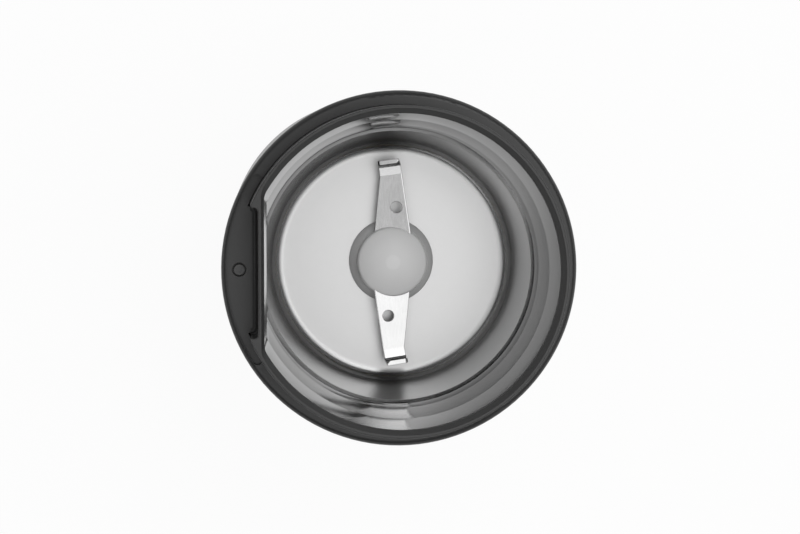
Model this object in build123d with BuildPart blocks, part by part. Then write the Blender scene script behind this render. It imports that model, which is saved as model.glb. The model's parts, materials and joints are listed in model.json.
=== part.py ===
from build123d import *

import os
from math import atan2, cos, degrees, radians, sin, sqrt, tan

# Electric blade grinder for coffee, without its lid.
# Millimetres, +Z up, origin on the floor under the shaft, safety pin in front at -Y.

os.makedirs("parts", exist_ok=True)

# Clearances shared by all pieces
fit_gap = 0.05  # fixed round piece in its seat
run_gap = 0.05  # shaft in a bearing
mould_gap = 0.15  # mouldings that slip together
slide_gap = 0.3  # moving piece past a fixed one
overrun = 5.0  # how far a cut runs past what it cuts

# Grinding bowl, inside sizes
bowl_lower_radius = 34.6  # under the step
bowl_draft = 1.7  # how far the lower wall closes towards the floor
bowl_ledge = 0.9  # width of the step
flat_cut = 0.75  # how far the flat cuts into the lower wall at the step
flat_draft = 0.5  # how far the flat leans out towards the mouth
funnel_width = 3.7  # how much the funnel opens above the step
funnel_height = 22.0
lower_height = 21.5
mouth_corner = 5.5  # rounding between flat and round wall at the mouth
step_corner = 9.0  # the same rounding at the step
floor_round = 4.3
floor_hole_radius = 6.0
bowl_sheet = 0.6
upper_crease = 0.4  # of the funnel's height, down from the mouth
lower_crease = 0.8
band_bulge = 0.05  # how far a band stands in between its creases

# Neck and lip round the bowl's mouth
collar_wall = 1.35
chord_wall = 0.75
lip_thickness = 1.4
lip_reveal = 0.1  # how far the lip stands back from the steel
lip_round = 0.25
lip_edge = 0.3  # upright part of the lip over the steel
lip_slope = 1.2  # how far the lip slopes out above that
chord_slope = 0.7  # the same slope along the flat
gasket_height = 0.8
neck_height = 13.0  # lip above the ledge
neck_relief = 0.3  # how much slimmer the neck is inside the ledge
pocket_side = 2.2  # depth of the pocket at its two ends
pocket_round = 1.0
pocket_edge_round = 0.7
flange_thickness = 2.0

# Outer shell
ledge_width = 3.7
ledge_thickness = 2.4
ledge_round = 1.5
body_taper = 2.6  # how much slimmer the foot of the body is
body_wall = 2.2
foot_round = 1.0
recess_depth = 1.4  # pocket floor below the ledge
recess_rim = 1.3
recess_round = 1.0
recess_half_angle = 34.0
platform_thickness = 2.4
platform_margin_angle = 3.0

# Posts inside the shell, and the screws that go into them
post_radius = 3.2
post_web = 3.0  # width of the web between post and wall
upper_post_count = 3
upper_post_angle = 90.0
lower_post_count = 4
lower_post_angle = 45.0
lower_post_height = 12.0
screw_radius = 1.5
screw_head_radius = 2.8
screw_head_height = 1.8
screw_grip = 9.0
screw_end_room = 1.0
slot_width = 0.7
slot_depth = 0.8

# Base, feet, gland
foot_height = 2.0
foot_radius = 5.0
foot_plug_radius = 2.5
foot_count = 4
foot_angle = 0.0
foot_inset = 8.0  # foot centre in from the cover's edge
base_thickness = 3.0
counterbore_room = 0.2
cover_edge = 1.0  # cover left outside a screw head
vent_count = 12
vent_inner = 11.0
vent_past_fan = 0.3
vent_width = 2.6
gland_lift = 10.0  # gland axis above the base cover
gland_bore = 3.2
gland_wall = 1.3
gland_flange_radius = 6.2
gland_flange = 1.6
gland_seat = 3.0
gland_pad_radius = 7.0

# Motor, from the base up
fan_lift = 3.0
fan_height = 7.0
fan_disc = 1.5
fan_clear = 0.8  # fan's edge to the motor screws
fan_hub_radius = 6.0
fan_blade = 1.2
fan_blade_count = 11
fan_gap = 1.6
bracket_plate = 3.0
bearing_length = 8.0
bearing_radius = 5.5
boss_wall = 2.0
end_play = 0.3
washer_thickness = 0.8
washer_radius = 5.2
shaft_radius = 3.0
shaft_middle_radius = 4.0
shaft_tail = 0.8  # shaft below the fan
commutator_radius = 9.0
commutator_length = 11.0
commutator_slit = 0.5
commutator_slit_depth = 1.0
segment_count = 24
winding_gap = 0.8
winding_length = 5.5
winding_inset = 1.6  # end turns inside the core's edge
core_length = 20.0
core_share = 0.463  # motor core's radius, of the bowl's
tooth_count = 12
tooth_slot = 2.2
tooth_slot_depth = 6.0
slot_fill_gap = 0.2
air_gap = 0.6
shoe_thickness = 3.0
shoe_half_angle = 55.0
pole_width = 14.0
coil_depth = 5.0
coil_width = 7.0
coil_overhang = 5.5
coil_round = 3.0
yoke_width = 4.5
lug_radius = 4.6
motor_screw_radius = 2.0
motor_screw_head_radius = 3.6
motor_screw_head_height = 2.4
motor_screw_bite = 4.5
top_gap = 1.5
bracket_bar_width = 18.0
brush_arm_width = 13.0
damper_height = 4.0
damper_radius = 5.0
damper_offset = 1.9  # damper centre outside the motor screws
damper_count = 3
damper_angle = 30.0
ear_radius = 5.8
chassis_thickness = 3.0
chassis_hole_gap = 1.0
seat_height = 1.5
seat_inset = 1.6  # seat inside the floor's flat
seat_width = 6.0

# Brushes
brush_width = 5.0
brush_height = 4.0
brush_length = 9.0
brush_gap = 0.1
holder_wall = 0.9
holder_start = 1.4  # brush tube's start from the commutator
holder_inset = 0.2  # brush tube's end inside the yoke
brush_cap_thickness = 0.8
brush_spring_radius = 1.5
brush_spring_wire = 0.2
brush_spring_turns = 5
upright_wall = 2.2
upright_length = 7.0

# Seal, hub and blade
seal_radius = 11.1
seal_height = 2.4
seal_flange_radius = 7.8
seal_flange = 1.2
seal_bore_gap = 0.15
seal_round = 0.5
hub_radius = 9.2
hub_edge = 0.3  # cap's side above the blade
hub_dome = 2.7
hub_round = 0.5
shaft_proud = 1.0  # shaft above the blade
insert_radius = 4.6
insert_flange_radius = 6.6
insert_flange = 0.9
insert_end = 0.6  # brass above the shaft's end
insert_lift = 0.5  # insert's underside above the seal
blade_thickness = 1.2
blade_core_margin = 0.9  # flat middle past the wings' roots
wing_angle = 7.0
wing_lead_root = 5.1  # leading edge from the wing's centre line
wing_trail_root = 4.6
wing_lead_tip = 2.7
wing_trail_tip = 3.1
wing_clear = 11.1  # bend of the tip to the bowl's wall
wing_hole_radius = 1.5
wing_hole_place = 14.3
wing_hole_offset = 1.2
tip_bend = 2.5
tip_flange = 0.3
tip_slant = 8.0

# Safety pin and its spring
pin_radius = 1.3
pin_hole_gap = 0.5
pin_proud = 0.4
pin_travel = 2.5
pin_flange_radius = 2.4
pin_flange = 1.2
pin_flange_gap = 0.1
pin_dimple_radius = 0.7
pin_dimple_depth = 0.2
guide_bore = 2.7
guide_wall = 0.9
guide_length = 11.0
retainer_thickness = 2.0
spring_radius = 2.0
spring_wire = 0.25
spring_turns = 6
spring_gap = 0.05
pad_height = 2.0
pad_drop = 0.6  # gap between retainer and pad
pad_reach = 1.5  # pad past the lever's centre line

# Microswitch and its bracket
switch_length = 12.8
switch_width = 4.6
switch_height = 6.5
switch_wall_gap = 0.55  # bracket to the bowl
bracket_sheet = 0.7
lever_length = 12.4
lever_arm = 9.0  # from pivot to pin
lever_width = 2.6
lever_thickness = 0.4
lever_end_angle = 2.5  # slope left when the pin is down
lever_gap = 0.2
lever_barrel = 0.6
pivot_lift = 0.6
pivot_inset = 1.4
pivot_pin_radius = 0.4
pivot_ear = 0.6
pivot_ear_length = 2.2
plunger_arm = 3.5
plunger_radius = 0.7
plunger_gap = 0.1
plunger_depth = 2.4
plunger_room = 0.3  # under the pressed plunger
terminal_width = 1.6
terminal_length = 3.4
terminal_thickness = 0.5
terminal_count = 3
terminal_spacing = 4.4
switch_screw_radius = 0.9
switch_screw_head = 1.6
switch_screw_head_height = 0.5
switch_screw_spacing = 6.5
switch_screw_drop = 4.2  # below the switch's top
holder_foot_width = 4.0
holder_foot_wing = 4.5  # foot past the switch's ends
holder_screw_inset = 2.2
holder_screw_bite = 2.2

# Electrical pieces on the base
capacitor_length = 18.0
capacitor_width = 6.0
capacitor_height = 11.0
capacitor_round = 0.8
block_length = 18.0
block_width = 8.0
block_height = 8.0
block_screw_radius = 1.4
block_screw_head = 2.2
block_screw_head_height = 0.8
block_screw_length = 4.0
cradle_wall = 1.2
cradle_height = 5.0
cradle_gap = 0.15
device_gap = 3.0  # cradle to the fan's edge
lead_radius = 0.9
lead_end_gap = 0.1
lead_clear = 1.5  # past the stator
lead_slot_gap = 0.5
lead_bend_share = 0.45  # of the shorter run beside a bend
lead_fall = 26.0  # drop of the long lead round the motor
lead_turn_start = -70.0
lead_turn_end = 65.0
lead_turn_steps = 6

# Radii worked out from the sizes above
step_radius = bowl_lower_radius + bowl_ledge
seat_radius = bowl_lower_radius - bowl_draft - floor_round - seat_inset
mouth_radius = step_radius + funnel_width
flat_at_step = bowl_lower_radius - flat_cut
flat_at_mouth = flat_at_step + flat_draft
cavity_growth = bowl_sheet + mould_gap
neck_radius = mouth_radius + cavity_growth + collar_wall
pocket_face = flat_at_mouth + cavity_growth + chord_wall
pocket_half_width = sqrt(neck_radius**2 - (pocket_face + pocket_side) ** 2)
neck_hole = neck_radius + mould_gap
body_radius = neck_radius + ledge_width
foot_of_body = body_radius - body_taper
pin_y = -(pocket_face + body_radius) / 2
core_radius = core_share * bowl_lower_radius
winding_radius = core_radius - winding_inset
stator_bore = core_radius + air_gap
shoe_radius = stator_bore + shoe_thickness
yoke_bore = shoe_radius + coil_depth
stator_radius = yoke_bore + yoke_width
lug_pitch = stator_radius - motor_screw_radius
damper_ring = lug_pitch + damper_offset
fan_radius = lug_pitch - motor_screw_head_radius - fan_clear
vent_outer = fan_radius + vent_past_fan
boss_radius = bearing_radius + boss_wall

# Levels worked out from the sizes above
base_bottom = foot_height
base_top = base_bottom + base_thickness
fan_bottom = base_top + fan_lift
fan_top = fan_bottom + fan_height
lower_plate = fan_top + fan_gap
lower_boss_top = lower_plate + bearing_length
commutator_bottom = lower_boss_top + end_play + washer_thickness
commutator_top = commutator_bottom + commutator_length
core_bottom = commutator_top + winding_gap + winding_length
core_top = core_bottom + core_length
winding_top = core_top + winding_length
upper_plate = winding_top + top_gap
upper_plate_top = upper_plate + bracket_plate
upper_boss_top = upper_plate + bearing_length
chassis_bottom = upper_plate_top + damper_height
chassis_top = chassis_bottom + chassis_thickness
bowl_bottom = chassis_top + seat_height
floor_level = bowl_bottom + bowl_sheet
step_level = floor_level + lower_height
mouth_level = step_level + funnel_height
gasket_top = mouth_level + gasket_height
lip_level = gasket_top + lip_thickness
ledge_level = lip_level - neck_height
ledge_underside = ledge_level - ledge_thickness
collar_bottom = ledge_underside - flange_thickness
platform_top = ledge_level - recess_depth
platform_bottom = platform_top - platform_thickness
guide_bottom = platform_bottom - guide_length
gland_level = base_top + gland_lift
brush_level = commutator_bottom + commutator_length / 2
insert_bottom = floor_level + seal_height + insert_lift
blade_bottom = insert_bottom + insert_flange
blade_top = blade_bottom + blade_thickness
shaft_top = blade_top + shaft_proud
hub_top = blade_top + hub_edge + hub_dome


def outer_radius(level):
    """Outside radius of the tapered shell at a level."""
    share = (level - base_bottom) / (ledge_level - base_bottom)
    return foot_of_body + body_taper * share


def inner_radius(level):
    """Inside radius of the tapered shell at a level."""
    return outer_radius(level) - body_wall


def mouth_outline(radius, flat, corner):
    """Round outline with one flat side towards -Y, in the sketch in hand."""
    drop = flat - corner
    side = sqrt((radius - corner) ** 2 - drop**2)
    turn = degrees(atan2(-drop, side))
    with BuildLine() as outline:
        CenterArc((0, 0), radius, turn, 180 - 2 * turn)
        CenterArc((side, -drop), corner, -90, 90 + turn)
        Line((-side, -flat), (side, -flat))
        CenterArc((-side, -drop), corner, 180 - turn, 90 + turn)
    make_face(outline.edges())


def pocket_outline(margin, mode):
    """The pocket in front of the flat, drawn smaller by a margin."""
    with Locations((0, -pocket_face - margin - neck_radius)):
        RectangleRounded(
            2 * (pocket_half_width - margin), 2 * neck_radius, pocket_round, mode=mode
        )


def front_wedge(half_angle, mode):
    """Wedge of the sketch in hand that opens towards -Y."""
    reach = 2 * body_radius
    side = reach * sin(radians(half_angle))
    front = -reach * cos(radians(half_angle))
    with BuildLine() as outline:
        Polyline((0, 0), (-side, front), (side, front), close=True)
    make_face(outline.edges(), mode=mode)


def shell_posts(pitch, count, start, bottom, top):
    """Screw posts with webs to the wall, in the part in hand."""
    wall_middle = inner_radius(top) + body_wall / 2
    with BuildSketch(Plane.XY.offset(bottom)) as posts:
        with PolarLocations(pitch, count, start):
            Circle(post_radius)
        with PolarLocations((pitch + wall_middle) / 2, count, start):
            Rectangle(wall_middle - pitch, post_web)
    extrude(posts.sketch, amount=top - bottom)


upper_post_pitch = inner_radius(chassis_bottom - screw_head_height) - screw_head_radius - slide_gap
upper_post_top = step_level - bowl_sheet - screw_end_room
lower_post_top = base_top + lower_post_height
cover_radius = inner_radius(base_bottom) - mould_gap
lower_post_pitch = cover_radius - cover_edge - mould_gap - screw_head_radius
chassis_radius = inner_radius(chassis_bottom) - slide_gap
gland_pad = sqrt(outer_radius(gland_level) ** 2 - gland_pad_radius**2)
gland_inner = gland_pad - gland_seat
gland_neck = gland_bore + gland_wall

# Outer shell: tapered wall, ledge, sunk pocket, pin guide, posts and gland seat
with BuildPart() as body_shell:
    with BuildSketch(Plane.XZ):
        with BuildLine():
            Polyline(
                (foot_of_body - body_wall, base_bottom),
                (foot_of_body, base_bottom),
                (body_radius, ledge_level),
                (neck_hole, ledge_level),
                (neck_hole, ledge_underside),
                (body_radius - body_wall, ledge_underside),
                close=True,
            )
        make_face()
    revolve(axis=Axis.Z)
    fillet(body_shell.edges().group_by(Axis.Z)[-1].sort_by(SortBy.RADIUS)[-1], ledge_round)
    fillet(body_shell.edges().group_by(Axis.Z)[0].sort_by(SortBy.RADIUS)[-1], foot_round)
    with BuildSketch(Plane.XY.offset(platform_bottom)):
        Circle(body_radius - body_wall / 2)
        Circle(neck_hole, mode=Mode.SUBTRACT)
        front_wedge(recess_half_angle + platform_margin_angle, Mode.INTERSECT)
    extrude(amount=platform_thickness)
    with BuildSketch(Plane.XY.offset(platform_bottom)):
        pocket_outline(mould_gap, Mode.ADD)
        Circle(body_radius - body_wall / 2, mode=Mode.INTERSECT)
    extrude(amount=platform_thickness)
    with BuildSketch(Plane.XY.offset(platform_top)) as recess:
        Circle(body_radius - recess_rim)
        front_wedge(recess_half_angle, Mode.INTERSECT)
        fillet(recess.vertices().sort_by(Axis.Y)[:2], recess_round)
    extrude(amount=recess_depth + overrun, mode=Mode.SUBTRACT)
    with BuildSketch(Plane.XY.offset(guide_bottom)):
        with Locations((0, pin_y)):
            Circle(guide_bore + guide_wall)
    extrude(amount=guide_length)
    shell_posts(
        upper_post_pitch, upper_post_count, upper_post_angle, chassis_top, upper_post_top
    )
    shell_posts(lower_post_pitch, lower_post_count, lower_post_angle, base_top, lower_post_top)
    with BuildSketch(Plane.XZ.offset(-gland_pad)):
        with Locations((0, gland_level)):
            Circle(gland_pad_radius)
    extrude(amount=gland_seat)
    with BuildSketch(Plane.XZ.offset(-gland_pad)):
        with Locations((0, gland_level)):
            Circle(gland_pad_radius)
    extrude(amount=-overrun, mode=Mode.SUBTRACT)
    with BuildSketch(Plane.XZ.offset(-gland_pad)):
        with Locations((0, gland_level)):
            Circle(gland_neck + fit_gap)
    extrude(amount=gland_seat + overrun, mode=Mode.SUBTRACT)
    with BuildSketch(Plane.XY.offset(guide_bottom - overrun)):
        with Locations((0, pin_y)):
            Circle(guide_bore)
    extrude(amount=guide_length + overrun, mode=Mode.SUBTRACT)
    with BuildSketch(Plane.XY.offset(platform_bottom)):
        with Locations((0, pin_y)):
            Circle(pin_radius + pin_hole_gap)
    extrude(amount=platform_thickness + overrun, mode=Mode.SUBTRACT)
    with BuildSketch(Plane.XY.offset(chassis_top)):
        with PolarLocations(upper_post_pitch, upper_post_count, upper_post_angle):
            Circle(screw_radius + fit_gap)
    extrude(amount=screw_grip + screw_end_room, mode=Mode.SUBTRACT)
    with BuildSketch(Plane.XY.offset(base_top)):
        with PolarLocations(lower_post_pitch, lower_post_count, lower_post_angle):
            Circle(screw_radius + fit_gap)
    extrude(amount=screw_grip + screw_end_room, mode=Mode.SUBTRACT)
body_shell.part.label = "body_shell"
export_step(body_shell.part, "parts/body_shell.step")

# Neck with its rounded lip, flanged under the ledge and cut away at the pocket
with BuildPart() as bowl_collar:
    with BuildSketch(Plane.XY.offset(collar_bottom)) as neck:
        Circle(neck_radius)
        pocket_outline(0, Mode.SUBTRACT)
        fillet(neck.vertices().sort_by(Axis.Y)[:2], pocket_edge_round)
    extrude(amount=lip_level - collar_bottom)
    with BuildSketch(Plane.XY.offset(collar_bottom)):
        Circle(neck_radius + overrun)
        Circle(neck_radius - neck_relief, mode=Mode.SUBTRACT)
    extrude(amount=ledge_level - collar_bottom, mode=Mode.SUBTRACT)
    with BuildSketch(Plane.XY.offset(collar_bottom)):
        Circle(inner_radius(collar_bottom) - mould_gap)
        Circle(neck_radius - collar_wall / 2, mode=Mode.SUBTRACT)
        front_wedge(recess_half_angle + 2 * platform_margin_angle, Mode.SUBTRACT)
    extrude(amount=flange_thickness)
    with BuildSketch(Plane.XY.offset(collar_bottom - overrun)):
        mouth_outline(
            mouth_radius + cavity_growth,
            flat_at_mouth + cavity_growth,
            mouth_corner + cavity_growth,
        )
    extrude(amount=gasket_top - collar_bottom + overrun, mode=Mode.SUBTRACT)
    lip_sections = []
    for level, slope, flat_slope in (
        (gasket_top, 0, 0),
        (gasket_top + lip_edge, 0, 0),
        (lip_level, lip_slope, chord_slope),
    ):
        with BuildSketch(Plane.XY.offset(level)) as lip_section:
            mouth_outline(
                mouth_radius + lip_reveal + slope,
                flat_at_mouth + lip_reveal + flat_slope,
                mouth_corner + lip_reveal + flat_slope,
            )
        lip_sections.append(lip_section.sketch)
    loft(lip_sections, ruled=True, mode=Mode.SUBTRACT)
    fillet(bowl_collar.edges().group_by(Axis.Z)[-1], lip_round)
bowl_collar.part.label = "bowl_collar"
export_step(bowl_collar.part, "parts/bowl_collar.step")

# Seal between the lip and the edge of the steel
with BuildPart() as bowl_gasket:
    with BuildSketch(Plane.XY.offset(mouth_level)):
        mouth_outline(
            mouth_radius + bowl_sheet, flat_at_mouth + bowl_sheet, mouth_corner + bowl_sheet
        )
    extrude(amount=gasket_height)
    with BuildSketch(Plane.XY.offset(mouth_level)):
        mouth_outline(
            mouth_radius + lip_reveal, flat_at_mouth + lip_reveal, mouth_corner + lip_reveal
        )
    extrude(amount=gasket_height, mode=Mode.SUBTRACT)
bowl_gasket.part.label = "bowl_gasket"
export_step(bowl_gasket.part, "parts/bowl_gasket.step")


def bowl_form(growth, rise, mode):
    """Funnel with a flat side over the lower bowl, grown outwards by the sheet."""
    stops = [(mouth_level, 0, 0)]
    for upper, lower in ((0, upper_crease), (upper_crease, lower_crease), (lower_crease, 1)):
        middle = (upper + lower) / 2
        stops.append((mouth_level - middle * funnel_height, middle, band_bulge))
        stops.append((mouth_level - lower * funnel_height, lower, 0))
    if rise > 0:
        stops.insert(0, (mouth_level + rise, 0, 0))
    if growth > 0:
        stops.append((step_level - growth, 1, 0))
    sections = []
    for level, share, bulge in stops:
        with BuildSketch(Plane.XY.offset(level)) as section:
            mouth_outline(
                step_radius + (1 - share) * funnel_width - bulge + growth,
                flat_at_step + (1 - share) * flat_draft + growth,
                mouth_corner + share * (step_corner - mouth_corner) + growth,
            )
        sections.append(section.sketch)
    loft(sections, ruled=True, mode=mode)
    with BuildSketch(Plane.XZ) as lower:
        with BuildLine() as profile:
            Polyline(
                (0, floor_level - growth),
                (bowl_lower_radius - bowl_draft + growth, floor_level - growth),
                (bowl_lower_radius + growth, step_level - growth),
                (0, step_level - growth),
                close=True,
            )
        make_face(profile.edges())
        fillet(lower.vertices().group_by(Axis.Y)[0].sort_by(Axis.X)[-1], floor_round + growth)
    round_form = revolve(lower.sketch, axis=Axis.Z, mode=Mode.PRIVATE)
    flat = Plane(
        (0, -flat_at_step - growth, step_level - growth),
        x_dir=(1, 0, 0),
        z_dir=(0, funnel_height, flat_draft),
    )
    add(split(round_form, bisect_by=flat, keep=Keep.TOP, mode=Mode.PRIVATE), mode=mode)


# Drawn steel bowl
with BuildPart() as grinding_bowl:
    bowl_form(bowl_sheet, 0, Mode.ADD)
    bowl_form(0, overrun, Mode.SUBTRACT)
    with BuildSketch(Plane.XY.offset(bowl_bottom - overrun)):
        Circle(floor_hole_radius)
    extrude(amount=bowl_sheet + 2 * overrun, mode=Mode.SUBTRACT)
grinding_bowl.part.label = "grinding_bowl"
export_step(grinding_bowl.part, "parts/grinding_bowl.step")

# Rubber ring that the bowl's floor stands on
with BuildPart() as bowl_seat:
    with BuildSketch(Plane.XY.offset(chassis_top)):
        Circle(seat_radius)
        Circle(seat_radius - seat_width, mode=Mode.SUBTRACT)
    extrude(amount=seat_height)
bowl_seat.part.label = "bowl_seat"
export_step(bowl_seat.part, "parts/bowl_seat.step")

# Grommet round the shaft, clipped into the hole in the bowl's floor
with BuildPart() as shaft_seal:
    with BuildSketch(Plane.XZ):
        with BuildLine():
            Polyline(
                (shaft_radius + seal_bore_gap, bowl_bottom - seal_flange),
                (seal_flange_radius, bowl_bottom - seal_flange),
                (seal_flange_radius, bowl_bottom),
                (floor_hole_radius - fit_gap, bowl_bottom),
                (floor_hole_radius - fit_gap, floor_level),
                (seal_radius, floor_level),
                (seal_radius, floor_level + seal_height),
                (shaft_radius + seal_bore_gap, floor_level + seal_height),
                close=True,
            )
        make_face()
    revolve(axis=Axis.Z)
    fillet(shaft_seal.edges().group_by(Axis.Z)[-1].sort_by(SortBy.RADIUS)[-1], seal_round)
shaft_seal.part.label = "shaft_seal"
export_step(shaft_seal.part, "parts/shaft_seal.step")

# Where the switch stands: lever under the pin, body under the lever
switch_back = flat_at_step + bowl_sheet + switch_wall_gap + bracket_sheet
switch_y = -(switch_back + switch_width / 2)
retainer_bottom = guide_bottom
pad_top = retainer_bottom - pad_drop
pad_bottom = pad_top - pad_height
lever_turn = pin_travel / lever_arm
lever_rest_angle = degrees(lever_turn) + lever_end_angle
lever_slope = tan(radians(lever_rest_angle))
lever_half = lever_thickness / 2 / cos(radians(lever_rest_angle))
pivot_x = -lever_arm
pivot_level = pad_bottom - lever_gap - lever_half - (lever_arm + pin_radius) * lever_slope
switch_top = pivot_level - pivot_lift
switch_bottom = switch_top - switch_height
switch_start = pivot_x - pivot_inset
switch_middle = switch_start + switch_length / 2
plunger_x = pivot_x + plunger_arm
plunger_top = (
    pivot_level - lever_half + (plunger_arm - plunger_radius) * lever_slope - plunger_gap
)
plunger_sink = lever_turn * plunger_arm + plunger_room
holder_start_x = switch_start - holder_foot_wing
holder_span = switch_length + 2 * holder_foot_wing
holder_screw_y = -(switch_back + holder_foot_width / 2)

# Plate that carries bowl, motor and switch
with BuildPart() as motor_chassis:
    with BuildSketch(Plane.XY.offset(chassis_bottom)):
        Circle(chassis_radius)
        Circle(boss_radius + chassis_hole_gap, mode=Mode.SUBTRACT)
        with PolarLocations(upper_post_pitch, upper_post_count, upper_post_angle):
            Circle(screw_radius + mould_gap, mode=Mode.SUBTRACT)
        with PolarLocations(damper_ring, damper_count, damper_angle):
            Circle(screw_radius + fit_gap, mode=Mode.SUBTRACT)
        with Locations(
            (holder_start_x + holder_screw_inset, holder_screw_y),
            (holder_start_x + holder_span - holder_screw_inset, holder_screw_y),
        ):
            Circle(switch_screw_radius + fit_gap, mode=Mode.SUBTRACT)
        with Locations((switch_middle, switch_y)):
            SlotCenterToCenter(
                2 * terminal_spacing, 2 * (lead_radius + lead_slot_gap), mode=Mode.SUBTRACT
            )
    extrude(amount=chassis_thickness)
motor_chassis.part.label = "motor_chassis"
export_step(motor_chassis.part, "parts/motor_chassis.step")


def polar_places(pitch, count, start):
    """Places on a circle, as plane points."""
    step = 360 / count
    return [
        (pitch * cos(radians(start + step * turn)), pitch * sin(radians(start + step * turn)))
        for turn in range(count)
    ]


def upward_screws(places, level, head, head_height, shank, length):
    """Slotted screws that point up, heads under a level, in the part in hand."""
    with BuildSketch(Plane.XY.offset(level - head_height)) as heads:
        with Locations(*places):
            Circle(head)
    extrude(heads.sketch, amount=head_height)
    with BuildSketch(Plane.XY.offset(level)) as shanks:
        with Locations(*places):
            Circle(shank)
    extrude(shanks.sketch, amount=length)
    with BuildSketch(Plane.XY.offset(level - head_height)) as slots:
        with Locations(*places):
            Rectangle(2 * head, slot_width)
    extrude(slots.sketch, amount=slot_depth, mode=Mode.SUBTRACT)


# Screws that hold the chassis to the shell's upper posts
with BuildPart() as chassis_screws:
    upward_screws(
        polar_places(upper_post_pitch, upper_post_count, upper_post_angle),
        chassis_bottom,
        screw_head_radius,
        screw_head_height,
        screw_radius,
        chassis_thickness + screw_grip,
    )
chassis_screws.part.label = "chassis_screws"
export_step(chassis_screws.part, "parts/chassis_screws.step")

# Shaft, thicker between the bearings
with BuildPart() as motor_shaft:
    with BuildSketch(Plane.XZ):
        with BuildLine():
            Polyline(
                (0, fan_bottom - shaft_tail),
                (shaft_radius, fan_bottom - shaft_tail),
                (shaft_radius, commutator_bottom),
                (shaft_middle_radius, commutator_bottom),
                (shaft_middle_radius, upper_plate - end_play - washer_thickness),
                (shaft_radius, upper_plate - end_play - washer_thickness),
                (shaft_radius, shaft_top),
                (0, shaft_top),
                close=True,
            )
        make_face()
    revolve(axis=Axis.Z)
motor_shaft.part.label = "motor_shaft"
export_step(motor_shaft.part, "parts/motor_shaft.step")

# Thrust washers against the shaft's two shoulders
with BuildPart() as shaft_washers:
    for washer_level in (
        commutator_bottom - washer_thickness,
        upper_plate - end_play - washer_thickness,
    ):
        with BuildSketch(Plane.XY.offset(washer_level)):
            Circle(washer_radius)
            Circle(shaft_radius + fit_gap, mode=Mode.SUBTRACT)
        extrude(amount=washer_thickness)
shaft_washers.part.label = "shaft_washers"
export_step(shaft_washers.part, "parts/shaft_washers.step")

# Slotted rotor stack
with BuildPart() as armature_core:
    with BuildSketch(Plane.XY.offset(core_bottom)):
        Circle(core_radius)
        Circle(shaft_middle_radius + fit_gap, mode=Mode.SUBTRACT)
        with PolarLocations(core_radius, tooth_count):
            Rectangle(2 * tooth_slot_depth, tooth_slot, mode=Mode.SUBTRACT)
    extrude(amount=core_length)
armature_core.part.label = "armature_core"
export_step(armature_core.part, "parts/armature_core.step")

# Winding: bars that fill the slots, joined by the end turns
with BuildPart() as armature_winding:
    bar_end = core_radius - air_gap
    bar_start = core_radius - tooth_slot_depth + slot_fill_gap
    with BuildSketch(Plane.XY.offset(core_bottom)):
        with PolarLocations((bar_start + bar_end) / 2, tooth_count):
            Rectangle(bar_end - bar_start, tooth_slot - 2 * slot_fill_gap)
    extrude(amount=core_length)
    for end_level in (core_bottom - winding_length, core_top):
        with BuildSketch(Plane.XY.offset(end_level)):
            Circle(winding_radius)
            Circle(washer_radius + fit_gap, mode=Mode.SUBTRACT)
        extrude(amount=winding_length)
    end_rims = armature_winding.edges().filter_by(GeomType.CIRCLE)
    fillet(
        [
            end_rims.group_by(Axis.Z)[0].sort_by(SortBy.RADIUS)[-1],
            end_rims.group_by(Axis.Z)[-1].sort_by(SortBy.RADIUS)[-1],
        ],
        winding_length / 2,
    )
armature_winding.part.label = "armature_winding"
export_step(armature_winding.part, "parts/armature_winding.step")

# Commutator with its segments parted by slits
with BuildPart() as commutator:
    with BuildSketch(Plane.XY.offset(commutator_bottom)):
        Circle(commutator_radius)
        Circle(shaft_middle_radius + fit_gap, mode=Mode.SUBTRACT)
        with PolarLocations(commutator_radius, segment_count):
            Rectangle(2 * commutator_slit_depth, commutator_slit, mode=Mode.SUBTRACT)
    extrude(amount=commutator_length)
commutator.part.label = "commutator"
export_step(commutator.part, "parts/commutator.step")

# Fan on the lower end of the shaft
with BuildPart() as cooling_fan:
    with BuildSketch(Plane.XY.offset(fan_bottom)):
        Circle(fan_hub_radius)
    extrude(amount=fan_height)
    with BuildSketch(Plane.XY.offset(fan_top - fan_disc)):
        Circle(fan_radius)
    extrude(amount=fan_disc)
    with BuildSketch(Plane.XY.offset(fan_bottom)):
        with PolarLocations((fan_hub_radius + fan_radius) / 2, fan_blade_count):
            Rectangle(fan_radius - fan_hub_radius + fan_blade, fan_blade)
        Circle(fan_radius, mode=Mode.INTERSECT)
    extrude(amount=fan_height)
    with BuildSketch(Plane.XY.offset(fan_bottom)):
        Circle(shaft_radius + fit_gap)
    extrude(amount=fan_height, mode=Mode.SUBTRACT)
cooling_fan.part.label = "cooling_fan"
export_step(cooling_fan.part, "parts/cooling_fan.step")

# Laminated stator: yoke, two poles with shoes, and lugs for the long screws
with BuildPart() as stator_core:
    with BuildSketch(Plane.XY.offset(core_bottom)):
        Circle(stator_radius)
        Circle(yoke_bore, mode=Mode.SUBTRACT)
        with Locations((lug_pitch, 0), (-lug_pitch, 0)):
            Circle(lug_radius)
    extrude(amount=core_length)
    with BuildSketch(Plane.XY.offset(core_bottom)):
        Rectangle(pole_width, 2 * yoke_bore + yoke_width)
    extrude(amount=core_length)
    for shoe_turn in (0, 180):
        with BuildSketch(Plane.XY.offset(core_bottom).rotated((0, 0, shoe_turn))):
            Circle(shoe_radius)
            front_wedge(shoe_half_angle, Mode.INTERSECT)
        extrude(amount=core_length)
    with BuildSketch(Plane.XY.offset(core_bottom)):
        Circle(stator_bore)
    extrude(amount=core_length, mode=Mode.SUBTRACT)
    with BuildSketch(Plane.XY.offset(core_bottom)):
        with Locations((lug_pitch, 0), (-lug_pitch, 0)):
            Circle(motor_screw_radius + mould_gap)
    extrude(amount=core_length, mode=Mode.SUBTRACT)
stator_core.part.label = "stator_core"
export_step(stator_core.part, "parts/stator_core.step")

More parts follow.
